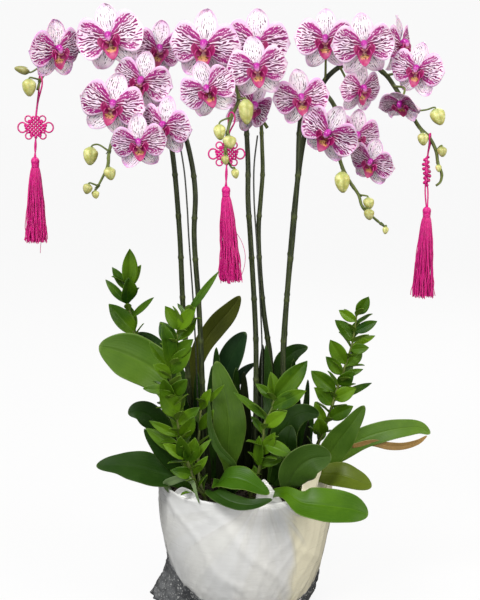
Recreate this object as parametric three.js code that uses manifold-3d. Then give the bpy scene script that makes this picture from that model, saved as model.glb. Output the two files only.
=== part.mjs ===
// Potted moth orchid: six arching spikes of spotted blooms in a white pot wrapped in clear film,
// with broad orchid leaves, leafy companion stems and three silk tassels.
// Millimetres, +Z up. X runs across the front, +Y away from it. The origin is the centre of the
// pot's underside.
import * as THREE from "three";
import { mergeVertices } from "three/addons/utils/BufferGeometryUtils.js";
import Module from "manifold-3d";

const wasm = await Module();
wasm.setup();

// Driving dimensions
const POT_HEIGHT = 192;
const POT_RIM_RADIUS = 133;
const POT_FOOT_RADIUS = 86;
const POT_WALL = 7;
const POT_FLOOR = 12;
const POT_SIDES = 24;
const SOIL_EDGE = 172;
const SOIL_CENTRE = 186;
const ROOT_DEPTH = 150;
const ROOT_TOP = 192;
const SEAT_GAP = 0.3;
const HOLE_CLEARANCE = 0.4;
const FILM_THICKNESS = 0.8;
const FILM_FOOT = 4;
const FILM_ABOVE_RIM = 6;
const FOOT_FILM_TRAIL = 44;
const STEM_RADIUS = 4;
const TIP_RADIUS = 1.6;
const STUB_RADIUS = 3;
const STEM_SIDES = 5;
const STALK_RADIUS = 1.4;
const STALK_SIDES = 3;
const BUD_SIDES = 5;
const TEPAL_THICKNESS = 1.2;
const LEAF_THICKNESS = 2.2;
const LEAF_FOOT_WIDTH = 7;
const LEAF_FOLD = 0.18;
const SHADE_ROWS = 3;
const LEAFLET_THICKNESS = 1;
const LEAFLET_STALK = 1.1;
const LEAFLET_BOW = 2;
const LEAFLET_TILT = 0.35;
const LEAFLET_BROADEST = 0.45;
const LEAFLET_TURNS = [0.3, -0.35, 0, 0.55, -0.15];
const FILLER_RADIUS = 3.6;
const FILLER_TIP_RADIUS = 1.6;
const WIRE_RADIUS = 1.2;
const CORD_RADIUS = 1.2;
const CORD_SIDES = 4;
const KNOT_WIDTH = 52;
const KNOT_HEIGHT = 38;
const KNOT_THICKNESS = 8;
const TASSEL_HEAD = 14;
const TASSEL_WIDTH = 33;
const TASSEL_RIDGES = 12;

const UP = new THREE.Vector3(0, 0, 1);

const group = new THREE.Group();

function material(colour, roughness, metalness = 0) {
  return new THREE.MeshStandardMaterial({ color: colour, roughness, metalness });
}

const GLAZE = material(0xf2f1ec, 0.2);
const FILM = material(0xdfe2e0, 0.25);
const DARK_FILM = material(0x3a3c40, 0.35);
const BARK = material(0x4a3a2a, 0.9);
const STEM_GREEN = material(0x3f4a2c, 0.6);
const PETAL_LOOK = material(0xe3c3dc, 0.6);
const ORCHID_LEAF = material(0x3b6a24, 0.4);
const BRIGHT_LEAF = material(0x5c8a36, 0.4);
const FILLER_LEAF = material(0x4f8a1f, 0.35);
const SILK = material(0xd0107a, 0.5);
const WIRE = material(0x24261f, 0.5, 0.2);

// Solids and meshes

function solidOf(geometry) {
  const bare = geometry.clone();
  bare.deleteAttribute("normal");
  bare.deleteAttribute("uv");
  const welded = mergeVertices(bare, 1e-4);
  return new wasm.Manifold(
    new wasm.Mesh({
      numProp: 3,
      vertProperties: Float32Array.from(welded.attributes.position.array),
      triVerts: Uint32Array.from(welded.index.array),
    }),
  );
}

function geometryOf(solid) {
  const mesh = solid.getMesh();
  const geometry = new THREE.BufferGeometry();
  geometry.setAttribute("position", new THREE.BufferAttribute(mesh.vertProperties, 3));
  geometry.setIndex(new THREE.BufferAttribute(mesh.triVerts, 1));
  geometry.computeVertexNormals();
  return geometry;
}

function fuse(solids) {
  return solids.reduce((whole, solid) => whole.add(solid));
}

function addPiece(name, solid, look, pose = new THREE.Matrix4()) {
  const mesh = new THREE.Mesh(geometryOf(solid), look);
  mesh.name = name;
  pose.decompose(mesh.position, mesh.quaternion, mesh.scale);
  group.add(mesh);
}

function indexed(positions, triangles) {
  const geometry = new THREE.BufferGeometry();
  geometry.setAttribute("position", new THREE.Float32BufferAttribute(positions, 3));
  geometry.setIndex(triangles);
  return geometry;
}

function vector(point) {
  return new THREE.Vector3(...point);
}

function smooth(points, steps) {
  return new THREE.CatmullRomCurve3(points.map(vector), false, "centripetal").getSpacedPoints(steps);
}

// Tapered tube with closed ends through a list of points, one radius at each

function tube(points, radii, sides) {
  const positions = [];
  const triangles = [];
  const start = points[1].clone().sub(points[0]).normalize();
  let spoke = Math.abs(start.x) > 0.9 ? new THREE.Vector3(0, 1, 0) : new THREE.Vector3(1, 0, 0);
  points.forEach((point, i) => {
    const before = points[Math.max(i - 1, 0)];
    const after = points[Math.min(i + 1, points.length - 1)];
    const along = after.clone().sub(before).normalize();
    spoke = spoke.clone().addScaledVector(along, -spoke.dot(along)).normalize();
    const beside = along.clone().cross(spoke);
    for (let k = 0; k < sides; k += 1) {
      const angle = (2 * Math.PI * k) / sides;
      const corner = point
        .clone()
        .addScaledVector(spoke, radii[i] * Math.cos(angle))
        .addScaledVector(beside, radii[i] * Math.sin(angle));
      positions.push(...corner.toArray());
    }
  });
  for (let i = 0; i + 1 < points.length; i += 1) {
    for (let k = 0; k < sides; k += 1) {
      const a = i * sides + k;
      const b = i * sides + ((k + 1) % sides);
      triangles.push(a, b, b + sides, a, b + sides, a + sides);
    }
  }
  const last = (points.length - 1) * sides;
  for (let k = 1; k + 1 < sides; k += 1) {
    triangles.push(0, k + 1, k, last, last + k, last + k + 1);
  }
  return solidOf(indexed(positions, triangles));
}

function taper(count, from, to) {
  return Array.from({ length: count }, (_, i) => from + ((to - from) * i) / (count - 1));
}

// Leaf-shaped blade: a row of corners at each step of the spine, closed at the tip. Both faces are
// split into triangles alike. Folds lift the edges of each row towards the face, and add a midrib.
// The first rows, as many as are straight, keep the direction of the first step.

function blade({ spine, halfWidths, folds, face, thickness, straight = 0 }) {
  const positions = [];
  const triangles = [];
  const rows = halfWidths.length;
  const offsets = folds ? [-1, 0, 1] : [-1, 1];
  const wide = offsets.length;
  for (let i = 0; i <= rows; i += 1) {
    const [before, after] = i < straight ? [0, 1] : [Math.max(i - 1, 0), Math.min(i + 1, rows)];
    const along = spine[after].clone().sub(spine[before]).normalize();
    const side = along.clone().cross(face).normalize();
    const normal = side.clone().cross(along);
    for (const sign of [1, -1]) {
      for (const offset of i < rows ? offsets : [0]) {
        const half = halfWidths[i] ?? 0;
        const lift = folds ? Math.abs(offset) * (folds[i] ?? 0) * half : 0;
        const corner = spine[i]
          .clone()
          .addScaledVector(side, offset * half)
          .addScaledVector(normal, lift + (sign * thickness) / 2);
        positions.push(...corner.toArray());
      }
    }
  }
  const upper = (row, column) => 2 * wide * row + column;
  const lower = (row, column) => 2 * wide * row + wide + column;
  const quad = (a, b, c, d) => triangles.push(a, b, c, a, c, d);
  const edge = wide - 1;
  for (let row = 0; row + 1 < rows; row += 1) {
    const next = row + 1;
    for (let j = 0; j < edge; j += 1) {
      quad(upper(row, j), upper(row, j + 1), upper(next, j + 1), upper(next, j));
      quad(lower(row, j), lower(next, j), lower(next, j + 1), lower(row, j + 1));
    }
    quad(upper(row, 0), upper(next, 0), lower(next, 0), lower(row, 0));
    quad(upper(row, edge), lower(row, edge), lower(next, edge), upper(next, edge));
  }
  const last = rows - 1;
  const tip = 2 * wide * rows;
  for (let j = 0; j < edge; j += 1) {
    triangles.push(upper(last, j), upper(last, j + 1), tip);
    triangles.push(lower(last, j + 1), lower(last, j), tip + 1);
    quad(upper(0, j), lower(0, j), lower(0, j + 1), upper(0, j + 1));
  }
  quad(upper(last, 0), tip, tip + 1, lower(last, 0));
  quad(upper(last, edge), lower(last, edge), tip + 1, tip);
  return solidOf(indexed(positions, triangles));
}

// Pot, growing medium and wrapping

const POT_PROFILE = [
  [POT_FOOT_RADIUS, 0],
  [101, 20],
  [119, 70],
  [129, 125],
  [POT_RIM_RADIUS, POT_HEIGHT],
];
const WRAPPED_PROFILE = [[POT_FOOT_RADIUS + 3, FILM_FOOT], ...POT_PROFILE.slice(1)];

function offsetProfile(profile, distance) {
  return profile.map(([radius, height], i) => {
    const [r0, z0] = profile[Math.max(i - 1, 0)];
    const [r1, z1] = profile[Math.min(i + 1, profile.length - 1)];
    const length = Math.hypot(r1 - r0, z1 - z0);
    return [radius + (distance * (z1 - z0)) / length, height - (distance * (r1 - r0)) / length];
  });
}

function turned(profile, reshape = (corner) => corner) {
  const geometry = new THREE.LatheGeometry(
    profile.map(([radius, height]) => new THREE.Vector2(radius, height)),
    POT_SIDES,
  );
  geometry.rotateX(Math.PI / 2);
  const corners = geometry.attributes.position;
  const corner = new THREE.Vector3();
  for (let i = 0; i < corners.count; i += 1) {
    corner.fromBufferAttribute(corners, i);
    reshape(corner);
    corners.setXYZ(i, corner.x, corner.y, corner.z);
  }
  return solidOf(geometry);
}

const INNER_PROFILE = offsetProfile(POT_PROFILE, -POT_WALL).slice(1);

function potSolid() {
  const inside = INNER_PROFILE.map(([radius, height]) => [radius, Math.max(height, POT_FLOOR)]);
  inside[inside.length - 1][1] = POT_HEIGHT;
  return turned([[0, 0], ...POT_PROFILE, ...inside.reverse(), [0, POT_FLOOR]]);
}

function soilSolid() {
  const reach = offsetProfile(POT_PROFILE, -POT_WALL - SEAT_GAP).slice(1, -1);
  const wall = reach.map(([radius, height]) => [radius, Math.max(height, POT_FLOOR + SEAT_GAP)]);
  const edge = [POT_RIM_RADIUS - POT_WALL - 1.2, SOIL_EDGE];
  const medium = turned([
    [0, POT_FLOOR + SEAT_GAP],
    ...wall,
    edge,
    [60, (SOIL_EDGE + SOIL_CENTRE) / 2 + 3],
    [0, SOIL_CENTRE],
  ]);
  return holes.reduce((left, hole) => left.subtract(hole), medium);
}

function stretchFilmSolid() {
  const above = POT_HEIGHT + FILM_ABOVE_RIM;
  const near = offsetProfile(WRAPPED_PROFILE, SEAT_GAP);
  near[near.length - 1] = [POT_RIM_RADIUS + 1.4, above];
  const far = offsetProfile(near, FILM_THICKNESS);
  far[far.length - 1][1] = above;
  return turned([...far, ...near.reverse(), far[0]], (corner) => {
    if (corner.z > POT_HEIGHT) {
      const turn = Math.atan2(corner.y, corner.x);
      corner.z += 2.5 * Math.sin(3 * turn) + 2 * Math.sin(7 * turn + 1);
    }
  });
}

// The dark film is crumpled round the foot. It stands highest at the left, where it also trails out
// on the surface, and it is lowest at the front. Its inner face follows the wrapped wall.
function footFilmSolid() {
  const wall = offsetProfile(WRAPPED_PROFILE, 2 * SEAT_GAP + FILM_THICKNESS + 0.2);
  const [low, knee] = wall;
  const wallRadius = (height) => {
    const i = wall.findIndex(([, z], level) => level > 0 && (z >= height || level === wall.length - 1));
    const [[r0, z0], [r1, z1]] = [wall[i - 1], wall[i]];
    return r0 + ((r1 - r0) * (Math.max(height, z0) - z0)) / (z1 - z0);
  };
  // Each corner of the outline: share of the height, and how far it stands off the wall
  const outline = [[0, 14], [0.4, 9], [1, 2.4], [1, 0], [0.3, 0], [0, 1.5]];
  const profile = outline.map(([share, off]) => [low[0] + off, share * POT_HEIGHT]);
  return turned([...profile, profile[0]], (corner) => {
    const turn = Math.atan2(corner.y, corner.x);
    const share = corner.z / POT_HEIGHT;
    const off = Math.hypot(corner.x, corner.y) - low[0];
    const left = Math.exp(-(((Math.PI - Math.abs(turn)) / 0.75) ** 2));
    const right = Math.exp(-((turn / 0.4) ** 2));
    const back = Math.max(0, Math.sin(turn)) ** 2;
    const crumple = 2 * Math.sin(9 * turn) + 1.5 * Math.sin(14 * turn + 2);
    const rise = 15 + 56 * left + 34 * right + 16 * back + crumple;
    const outer = off > 2;
    const spread = outer && share < 0.9 ? (share < 0.1 ? FOOT_FILM_TRAIL : 12) * left + crumple : 0;
    const bent = !outer && share > 0.1 && share < 0.9;
    const height = bent ? Math.min(knee[1], 0.9 * rise) : share * rise;
    const clear = 2.4 * THREE.MathUtils.clamp((64 - rise) / 20, 0, 1);
    const reach = wallRadius(height) + off + clear + spread;
    corner.set(reach * Math.cos(turn), reach * Math.sin(turn), height);
  });
}

// Everything that stands in the medium goes straight down into a hole of its own outline

const holes = [];

function boreFor(x, y, radius) {
  const wide = radius + HOLE_CLEARANCE / Math.cos(Math.PI / STEM_SIDES);
  const ends = [ROOT_DEPTH - SEAT_GAP, SOIL_CENTRE + 20].map((z) => new THREE.Vector3(x, y, z));
  holes.push(tube(ends, [wide, wide], STEM_SIDES));
}

function slotFor(x, y, halfWidth, side) {
  const depth = SOIL_CENTRE + 20 - ROOT_DEPTH + SEAT_GAP;
  const slot = new THREE.BoxGeometry(
    2 * (halfWidth + HOLE_CLEARANCE),
    LEAF_THICKNESS + 2 * HOLE_CLEARANCE,
    depth,
  );
  slot.rotateZ(Math.atan2(side.y, side.x));
  slot.translate(x, y, ROOT_DEPTH - SEAT_GAP + depth / 2);
  holes.push(solidOf(slot));
}

function footOf(x, y) {
  return [new THREE.Vector3(x, y, ROOT_DEPTH), new THREE.Vector3(x, y, ROOT_TOP)];
}

// Blooms. Each row: centre of the bloom, bearing of its face in degrees (positive towards +X),
// tilt up, lean of the top sepal towards +X, and span. The first letter is the spike.

const BLOOMS = {
  A1: { at: [-272, -20, 837], bearing: 40, tilt: -10, lean: -5, span: 88 },
  A2: { at: [-194, -20, 854], bearing: -5, tilt: -5, lean: -12, span: 100 },
  A3: { at: [-130, 26, 838], bearing: 25, tilt: -10, lean: 10, span: 85 },
  C1: { at: [-58, -20, 843], bearing: -10, tilt: -8, lean: 5, span: 105 },
  D1: { at: [17, 22, 847], bearing: 0, tilt: -5, lean: 3, span: 98 },
  D2: { at: [16, -50, 812], bearing: 0, tilt: -8, lean: -8, span: 88 },
  D3: { at: [7, 10, 757], bearing: 35, tilt: -15, lean: 30, span: 85 },
  F1: { at: [117, 18, 851], bearing: -5, tilt: -5, lean: 0, span: 90 },
  F2: { at: [169, -25, 843], bearing: 0, tilt: -8, lean: -4, span: 92 },
  F3: { at: [225, 20, 844], bearing: 60, tilt: 0, lean: 0, span: 85 },
  F4: { at: [168, 8, 781], bearing: 35, tilt: -10, lean: 0, span: 75 },
  F5: { at: [247, -25, 809], bearing: -25, tilt: -5, lean: 10, span: 80 },
  F6: { at: [223, -40, 765], bearing: -25, tilt: -50, lean: 0, span: 75, closed: 1 },
  B1: { at: [-148, -35, 794], bearing: -15, tilt: -15, lean: 18, span: 88 },
  B2: { at: [-189, -64, 761], bearing: 5, tilt: -8, lean: 15, span: 94 },
  B3: { at: [-115, -50, 731], bearing: -25, tilt: -10, lean: 10, span: 84 },
  B4: { at: [-150, -92, 710], bearing: 5, tilt: -12, lean: -5, span: 80 },
  C2: { at: [-53, -70, 783], bearing: -5, tilt: -10, lean: -20, span: 84 },
  E1: { at: [80, -20, 769], bearing: 5, tilt: -10, lean: -8, span: 82 },
  E2: { at: [119, -64, 721], bearing: -30, tilt: -15, lean: 30, span: 90 },
  E3: { at: [161, 6, 713], bearing: 20, tilt: -10, lean: 10, span: 80 },
  E4: { at: [182, -48, 679], bearing: -30, tilt: -15, lean: 15, span: 72 },
};

function bloomPose({ at, bearing, tilt, lean }) {
  const turn = THREE.MathUtils.degToRad(bearing);
  const rise = THREE.MathUtils.degToRad(tilt);
  const roll = THREE.MathUtils.degToRad(lean);
  const front = new THREE.Vector3(
    Math.sin(turn) * Math.cos(rise),
    -Math.cos(turn) * Math.cos(rise),
    Math.sin(rise),
  );
  const across = new THREE.Vector3(Math.cos(turn), Math.sin(turn), 0);
  const upward = front.clone().cross(across);
  const top = upward.clone().multiplyScalar(Math.cos(roll)).addScaledVector(across, Math.sin(roll));
  const right = across.clone().multiplyScalar(Math.cos(roll)).addScaledVector(upward, -Math.sin(roll));
  return new THREE.Matrix4().makeBasis(right, top, front).setPosition(...at);
}

// Shapes of the parts of a bloom, as fractions of its span
const NECK = new THREE.Vector3(0, 0, -0.13);
const COLUMN = new THREE.Vector3(0, 0.03, 0.14);
const HEART_RADIUS = 0.036;
const SEPAL = { length: 0.5, steps: [0.16, 0.46, 0.8, 1], halfWidths: [0.045, 0.17, 0.13], base: -0.03 };
const PETAL = {
  length: 0.51,
  steps: [0.16, 0.34, 0.62, 0.88, 1],
  halfWidths: [0.045, 0.2, 0.28, 0.17],
  base: 0.035,
};
const TEPALS = [
  [SEPAL, 0],
  [PETAL, -1.32],
  [SEPAL, -2.42],
  [SEPAL, 2.42],
  [PETAL, 1.32],
];

// The sepals and petals are one folded sheet, in order round the heart of the bloom, which runs
// from the neck at the back to the column at the front
function tepalSheet(span, sweep, spread) {
  const positions = [];
  const triangles = [];
  const put = (x, y, z) => {
    positions.push(x, y, z + TEPAL_THICKNESS / 2, x, y, z - TEPAL_THICKNESS / 2);
    return positions.length / 3 - 2;
  };
  const ring = (centre, radius) =>
    TEPALS.map(([, turn]) => {
      positions.push(centre.x * span + radius * Math.sin(turn), centre.y * span + radius * Math.cos(turn));
      positions.push(centre.z * span);
      return positions.length / 3 - 1;
    });
  const patch = (a, b, c) => triangles.push(a, b, c, a + 1, c + 1, b + 1);
  const wall = (a, b, c, d) => triangles.push(a, b, c, a, c, d);
  const leaves = TEPALS.map(([shape, turn]) => {
    const [outX, outY] = [Math.sin(turn), Math.cos(turn)];
    const waist = put(outX * HEART_RADIUS * span, outY * HEART_RADIUS * span, 0);
    const rows = shape.steps.map((step, i) => {
      const reach = step * shape.length * spread * span;
      const half = (shape.halfWidths[i] ?? 0) * span;
      const z = (shape.base - sweep * step * step) * span;
      const ends = half ? [1, -1] : [0];
      return ends.map((end) => put(outX * reach + end * outY * half, outY * reach - end * outX * half, z));
    });
    const [tip] = rows.pop();
    return { waist, rows, tip };
  });
  const column = ring(COLUMN, 0.03 * span);
  const neck = ring(NECK, STALK_RADIUS);
  leaves.forEach(({ waist, rows, tip }, i) => {
    rows.slice(1).forEach(([right, left], row) => {
      patch(rows[row][0], right, left);
      patch(rows[row][0], left, rows[row][1]);
    });
    const [lastRight, lastLeft] = rows.at(-1);
    patch(lastRight, tip, lastLeft);
    patch(waist, rows[0][0], rows[0][1]);
    const next = (i + 1) % leaves.length;
    const other = leaves[next];
    patch(waist, rows[0][1], other.rows[0][0]);
    patch(waist, other.rows[0][0], other.waist);
    wall(waist, other.waist, column[next], column[i]);
    wall(other.waist + 1, waist + 1, neck[i], neck[next]);
    const outline = [...rows.map((row) => row[0]), tip, ...rows.map((row) => row[1]).reverse()];
    outline.push(other.rows[0][0]);
    outline.slice(1).forEach((b, step) => wall(outline[step] + 1, b + 1, b, outline[step]));
  });
  for (let k = 1; k + 1 < TEPALS.length; k += 1) {
    triangles.push(column[0], column[k], column[k + 1], neck[0], neck[k + 1], neck[k]);
  }
  return solidOf(indexed(positions, triangles));
}

// The lip is a scoop with raised sides and a tongue
function lipSolid(span) {
  const points = [[0, -0.015, 0.02], [0, -0.06, 0.13], [0, -0.15, 0.19], [0, -0.3, 0.15]];
  return blade({
    spine: points.map((point) => vector(point).multiplyScalar(span)),
    halfWidths: [0.015 * span, 0.125 * span, 0.105 * span],
    folds: [0, 0.9, 0.1],
    face: new THREE.Vector3(0, 0.8, 0.6),
    thickness: TEPAL_THICKNESS,
  });
}

function bloomSolid({ span, closed = 0 }) {
  const sweep = closed ? -0.16 : 0.07;
  const spread = closed ? 0.82 : 1;
  return fuse([tepalSheet(span, sweep, spread), lipSolid(span)]);
}

// Flower spikes. A route runs from the foot in the medium to the tip. Stalks leave it at a numbered
// point of the route and end at a bloom's neck, by way of a point where one is given, or in a bud.

const SPIKES = {
  A: {
    route: [
      [-80, 22, 250], [-85, 22, 307], [-94, 18, 446], [-99, 18, 574], [-109, 26, 689], [-122, 45, 751],
      [-142, 54, 798], [-171, 46, 822], [-198, 26, 832], [-224, 20, 836], [-250, 20, 834],
      [-272, 12, 824], [-288, -2, 808], [-297, -9, 794], [-302, -12, 780],
    ],
    blooms: { A3: [6], A2: [8], A1: [11] },
    buds: [
      { from: 11, via: [-292, -3, 817], at: [-324, -6, 809], length: 22, width: 12, hang: [-0.9, 0, 0.3] },
      { from: 13, via: [-304, -20, 797], at: [-312, -24, 784], length: 25, width: 20, hang: [-0.1, 0, -1] },
    ],
    loop: 13,
  },
  B: {
    route: [
      [-62, -10, 250], [-64, -10, 316], [-69, -8, 451], [-76, -6, 567], [-74, -4, 629], [-80, 0, 678],
      [-93, 2, 724], [-113, 0, 752], [-139, -2, 762], [-159, -8, 755], [-176, -20, 736],
      [-189, -34, 716], [-196, -44, 694], [-199, -48, 672], [-212, -52, 645],
    ],
    blooms: { B1: [8], B3: [7], B2: [10], B4: [11] },
    buds: [
      { from: 12, via: [-212, -46, 704], at: [-223, -50, 688], length: 26, width: 21, hang: [-0.2, 0, -1] },
      { from: 12, via: [-195, -58, 680], at: [-194, -64, 664], length: 19, width: 17, hang: [0.1, 0, -1] },
      { from: 14, via: [-219, -53, 648], at: [-228, -52, 641], length: 15, width: 14, hang: [-0.4, 0, -1] },
      { from: 14, via: [-215, -50, 640], at: [-217, -46, 632], length: 12, width: 11, hang: [0, 0, -1] },
    ],
  },
  C: {
    route: [
      [16, -1, 250], [16, 0, 313], [16, 4, 406], [8, 12, 554], [4, 16, 617], [4, 26, 668], [2, 40, 715],
      [0, 48, 756], [-8, 50, 782], [-20, 36, 798], [-20, 4, 796], [-14, -26, 784], [-10, -48, 768],
      [-20, -68, 744], [-26, -80, 722], [-28, -86, 700], [-24, -86, 681],
    ],
    blooms: { C1: [9], C2: [11] },
    buds: [
      { from: 13, via: [-33, -76, 740], at: [-37, -82, 724], length: 22, width: 17, hang: [0, 0, -1] },
      { from: 14, via: [-24, -92, 722], at: [-23, -98, 711], length: 18, width: 19, hang: [0, -0.3, -1] },
      { from: 15, via: [-30, -92, 695], at: [-29, -96, 686], length: 13, width: 11, hang: [0, 0, -1] },
      { from: 16, via: [-19, -86, 674], at: [-15, -86, 666], length: 14, width: 11, hang: [0.1, 0, -1] },
      { from: 12, via: [-6, -70, 770], at: [0, -76, 752], length: 35, width: 21, hang: [0, 0, -1] },
    ],
    loop: 13,
  },
  D: {
    route: [
      [40, 17, 250], [40, 16, 309], [36, 15, 388], [28, 16, 447], [22, 20, 511], [20, 27, 574], [23, 32, 615],
      [26, 36, 657], [25, 42, 698], [24, 50, 734], [26, 58, 772], [26, 58, 806], [24, 54, 832],
    ],
    blooms: { D3: [9], D2: [11], D1: [12] },
    buds: [],
    stub: { from: 9, to: [33, 46, 722] },
  },
  E: {
    route: [
      [60, -9, 250], [59, -8, 315], [57, -5, 392], [64, 0, 492], [70, 4, 555], [75, 8, 618], [78, 10, 659],
      [80, 18, 721], [87, 26, 761], [100, 26, 779], [116, 14, 774], [129, -2, 758], [134, -18, 738],
      [134, -28, 716], [134, -36, 692], [140, -42, 670], [152, -46, 648], [163, -48, 632],
      [169, -50, 614], [184, -52, 600], [196, -53, 590],
    ],
    blooms: { E1: [9], E2: [12], E3: [11], E4: [13, [166, -22, 700]] },
    buds: [
      { from: 15, via: [141, -50, 662], at: [138, -58, 651], length: 30, width: 22, hang: [0, 0, -1] },
      { from: 17, via: [174, -44, 630], at: [178, -44, 619], length: 17, width: 16, hang: [0.1, 0, -1] },
      { from: 18, via: [176, -58, 613], at: [177, -62, 605], length: 16, width: 15, hang: [0, 0, -1] },
      { from: 20, via: [200, -54, 587], at: [202, -54, 581], length: 11, width: 9, hang: [-0.2, 0, -1] },
    ],
  },
  F: {
    route: [
      [60, 44, 250], [60, 44, 381], [69, 44, 537], [79, 44, 644], [91, 50, 719], [106, 56, 763],
      [120, 58, 793], [141, 56, 812], [167, 50, 822], [190, 42, 814], [208, 30, 800],
      [218, 14, 785], [228, 0, 768], [239, -12, 749], [252, -22, 727], [267, -28, 711],
      [276, -30, 693], [279, -30, 676], [285, -30, 660], [283, -30, 648], [277, -30, 643],
    ],
    blooms: { F1: [6], F4: [7], F2: [8], F3: [9], F5: [10], F6: [11] },
    buds: [
      { from: 13, via: [262, -18, 752], at: [278, -22, 742], length: 25, width: 22, hang: [0.3, 0, -1] },
      { from: 14, via: [254, -32, 720], at: [255, -38, 711], length: 18, width: 16, hang: [0, 0, -1] },
      { from: 16, via: [280, -36, 700], at: [283, -38, 693], length: 15, width: 14, hang: [0, 0, -1] },
      { from: 17, via: [279, -34, 674], at: [279, -36, 669], length: 11, width: 9, hang: [0, 0, -1] },
    ],
    loop: 15,
  },
};

function radiusAt(route, place) {
  return STEM_RADIUS + (TIP_RADIUS - STEM_RADIUS) * (place / (route.length - 1)) ** 2;
}

function stalk(points) {
  return tube(points, taper(points.length, STALK_RADIUS * 1.2, STALK_RADIUS), STALK_SIDES);
}

function stalkToBloom(from, bloom, via = []) {
  const pose = bloomPose(bloom);
  const behind = (distance) =>
    NECK.clone().multiplyScalar(bloom.span + distance / NECK.length()).applyMatrix4(pose);
  const end = behind(SEAT_GAP + 0.05);
  const reach = behind(Math.min(12, from.distanceTo(end) / 3));
  const way = via.length ? [vector(via)] : [];
  return stalk([from, ...way, reach, end]);
}

function budSolids(from, { via, at, length, width, hang }) {
  const profile = [[0, 0], [0.42, 0.15], [0.5, 0.45], [0.33, 0.82], [0, 1]];
  const shape = new THREE.LatheGeometry(
    profile.map(([radius, along]) => new THREE.Vector2(radius * width, along * length)),
    BUD_SIDES,
  );
  const direction = vector(hang).normalize();
  const turn = new THREE.Quaternion().setFromUnitVectors(new THREE.Vector3(0, 1, 0), direction);
  shape.applyQuaternion(turn);
  const base = vector(at).addScaledVector(direction, -length / 2);
  shape.translate(...base.toArray());
  const inside = base.clone().addScaledVector(direction, length / 4);
  return [solidOf(shape), stalk([from, vector(via), inside])];
}

function spikeSolid({ route, blooms, buds, stub }) {
  const [x, y] = route[0];
  const points = route.map(vector);
  const radii = points.map((_, place) => radiusAt(route, place));
  boreFor(x, y, STEM_RADIUS);
  const parts = [tube([...footOf(x, y), ...points], [STEM_RADIUS, STEM_RADIUS, ...radii], STEM_SIDES)];
  for (const [name, [place, via]] of Object.entries(blooms)) {
    parts.push(stalkToBloom(points[place], BLOOMS[name], via));
  }
  for (const bud of buds) {
    parts.push(...budSolids(points[bud.from], bud));
  }
  if (stub) {
    parts.push(tube([points[stub.from], vector(stub.to)], [STUB_RADIUS, STUB_RADIUS - 0.4], STEM_SIDES));
  }
  return fuse(parts);
}

// Orchid leaves. Each stands in the medium and its blades run along a spine to the tip, with their
// half widths at even steps, and the upper face towards the given direction. Further blades start
// from the foot of the first, and the short ones in the shade are flat.

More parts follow.
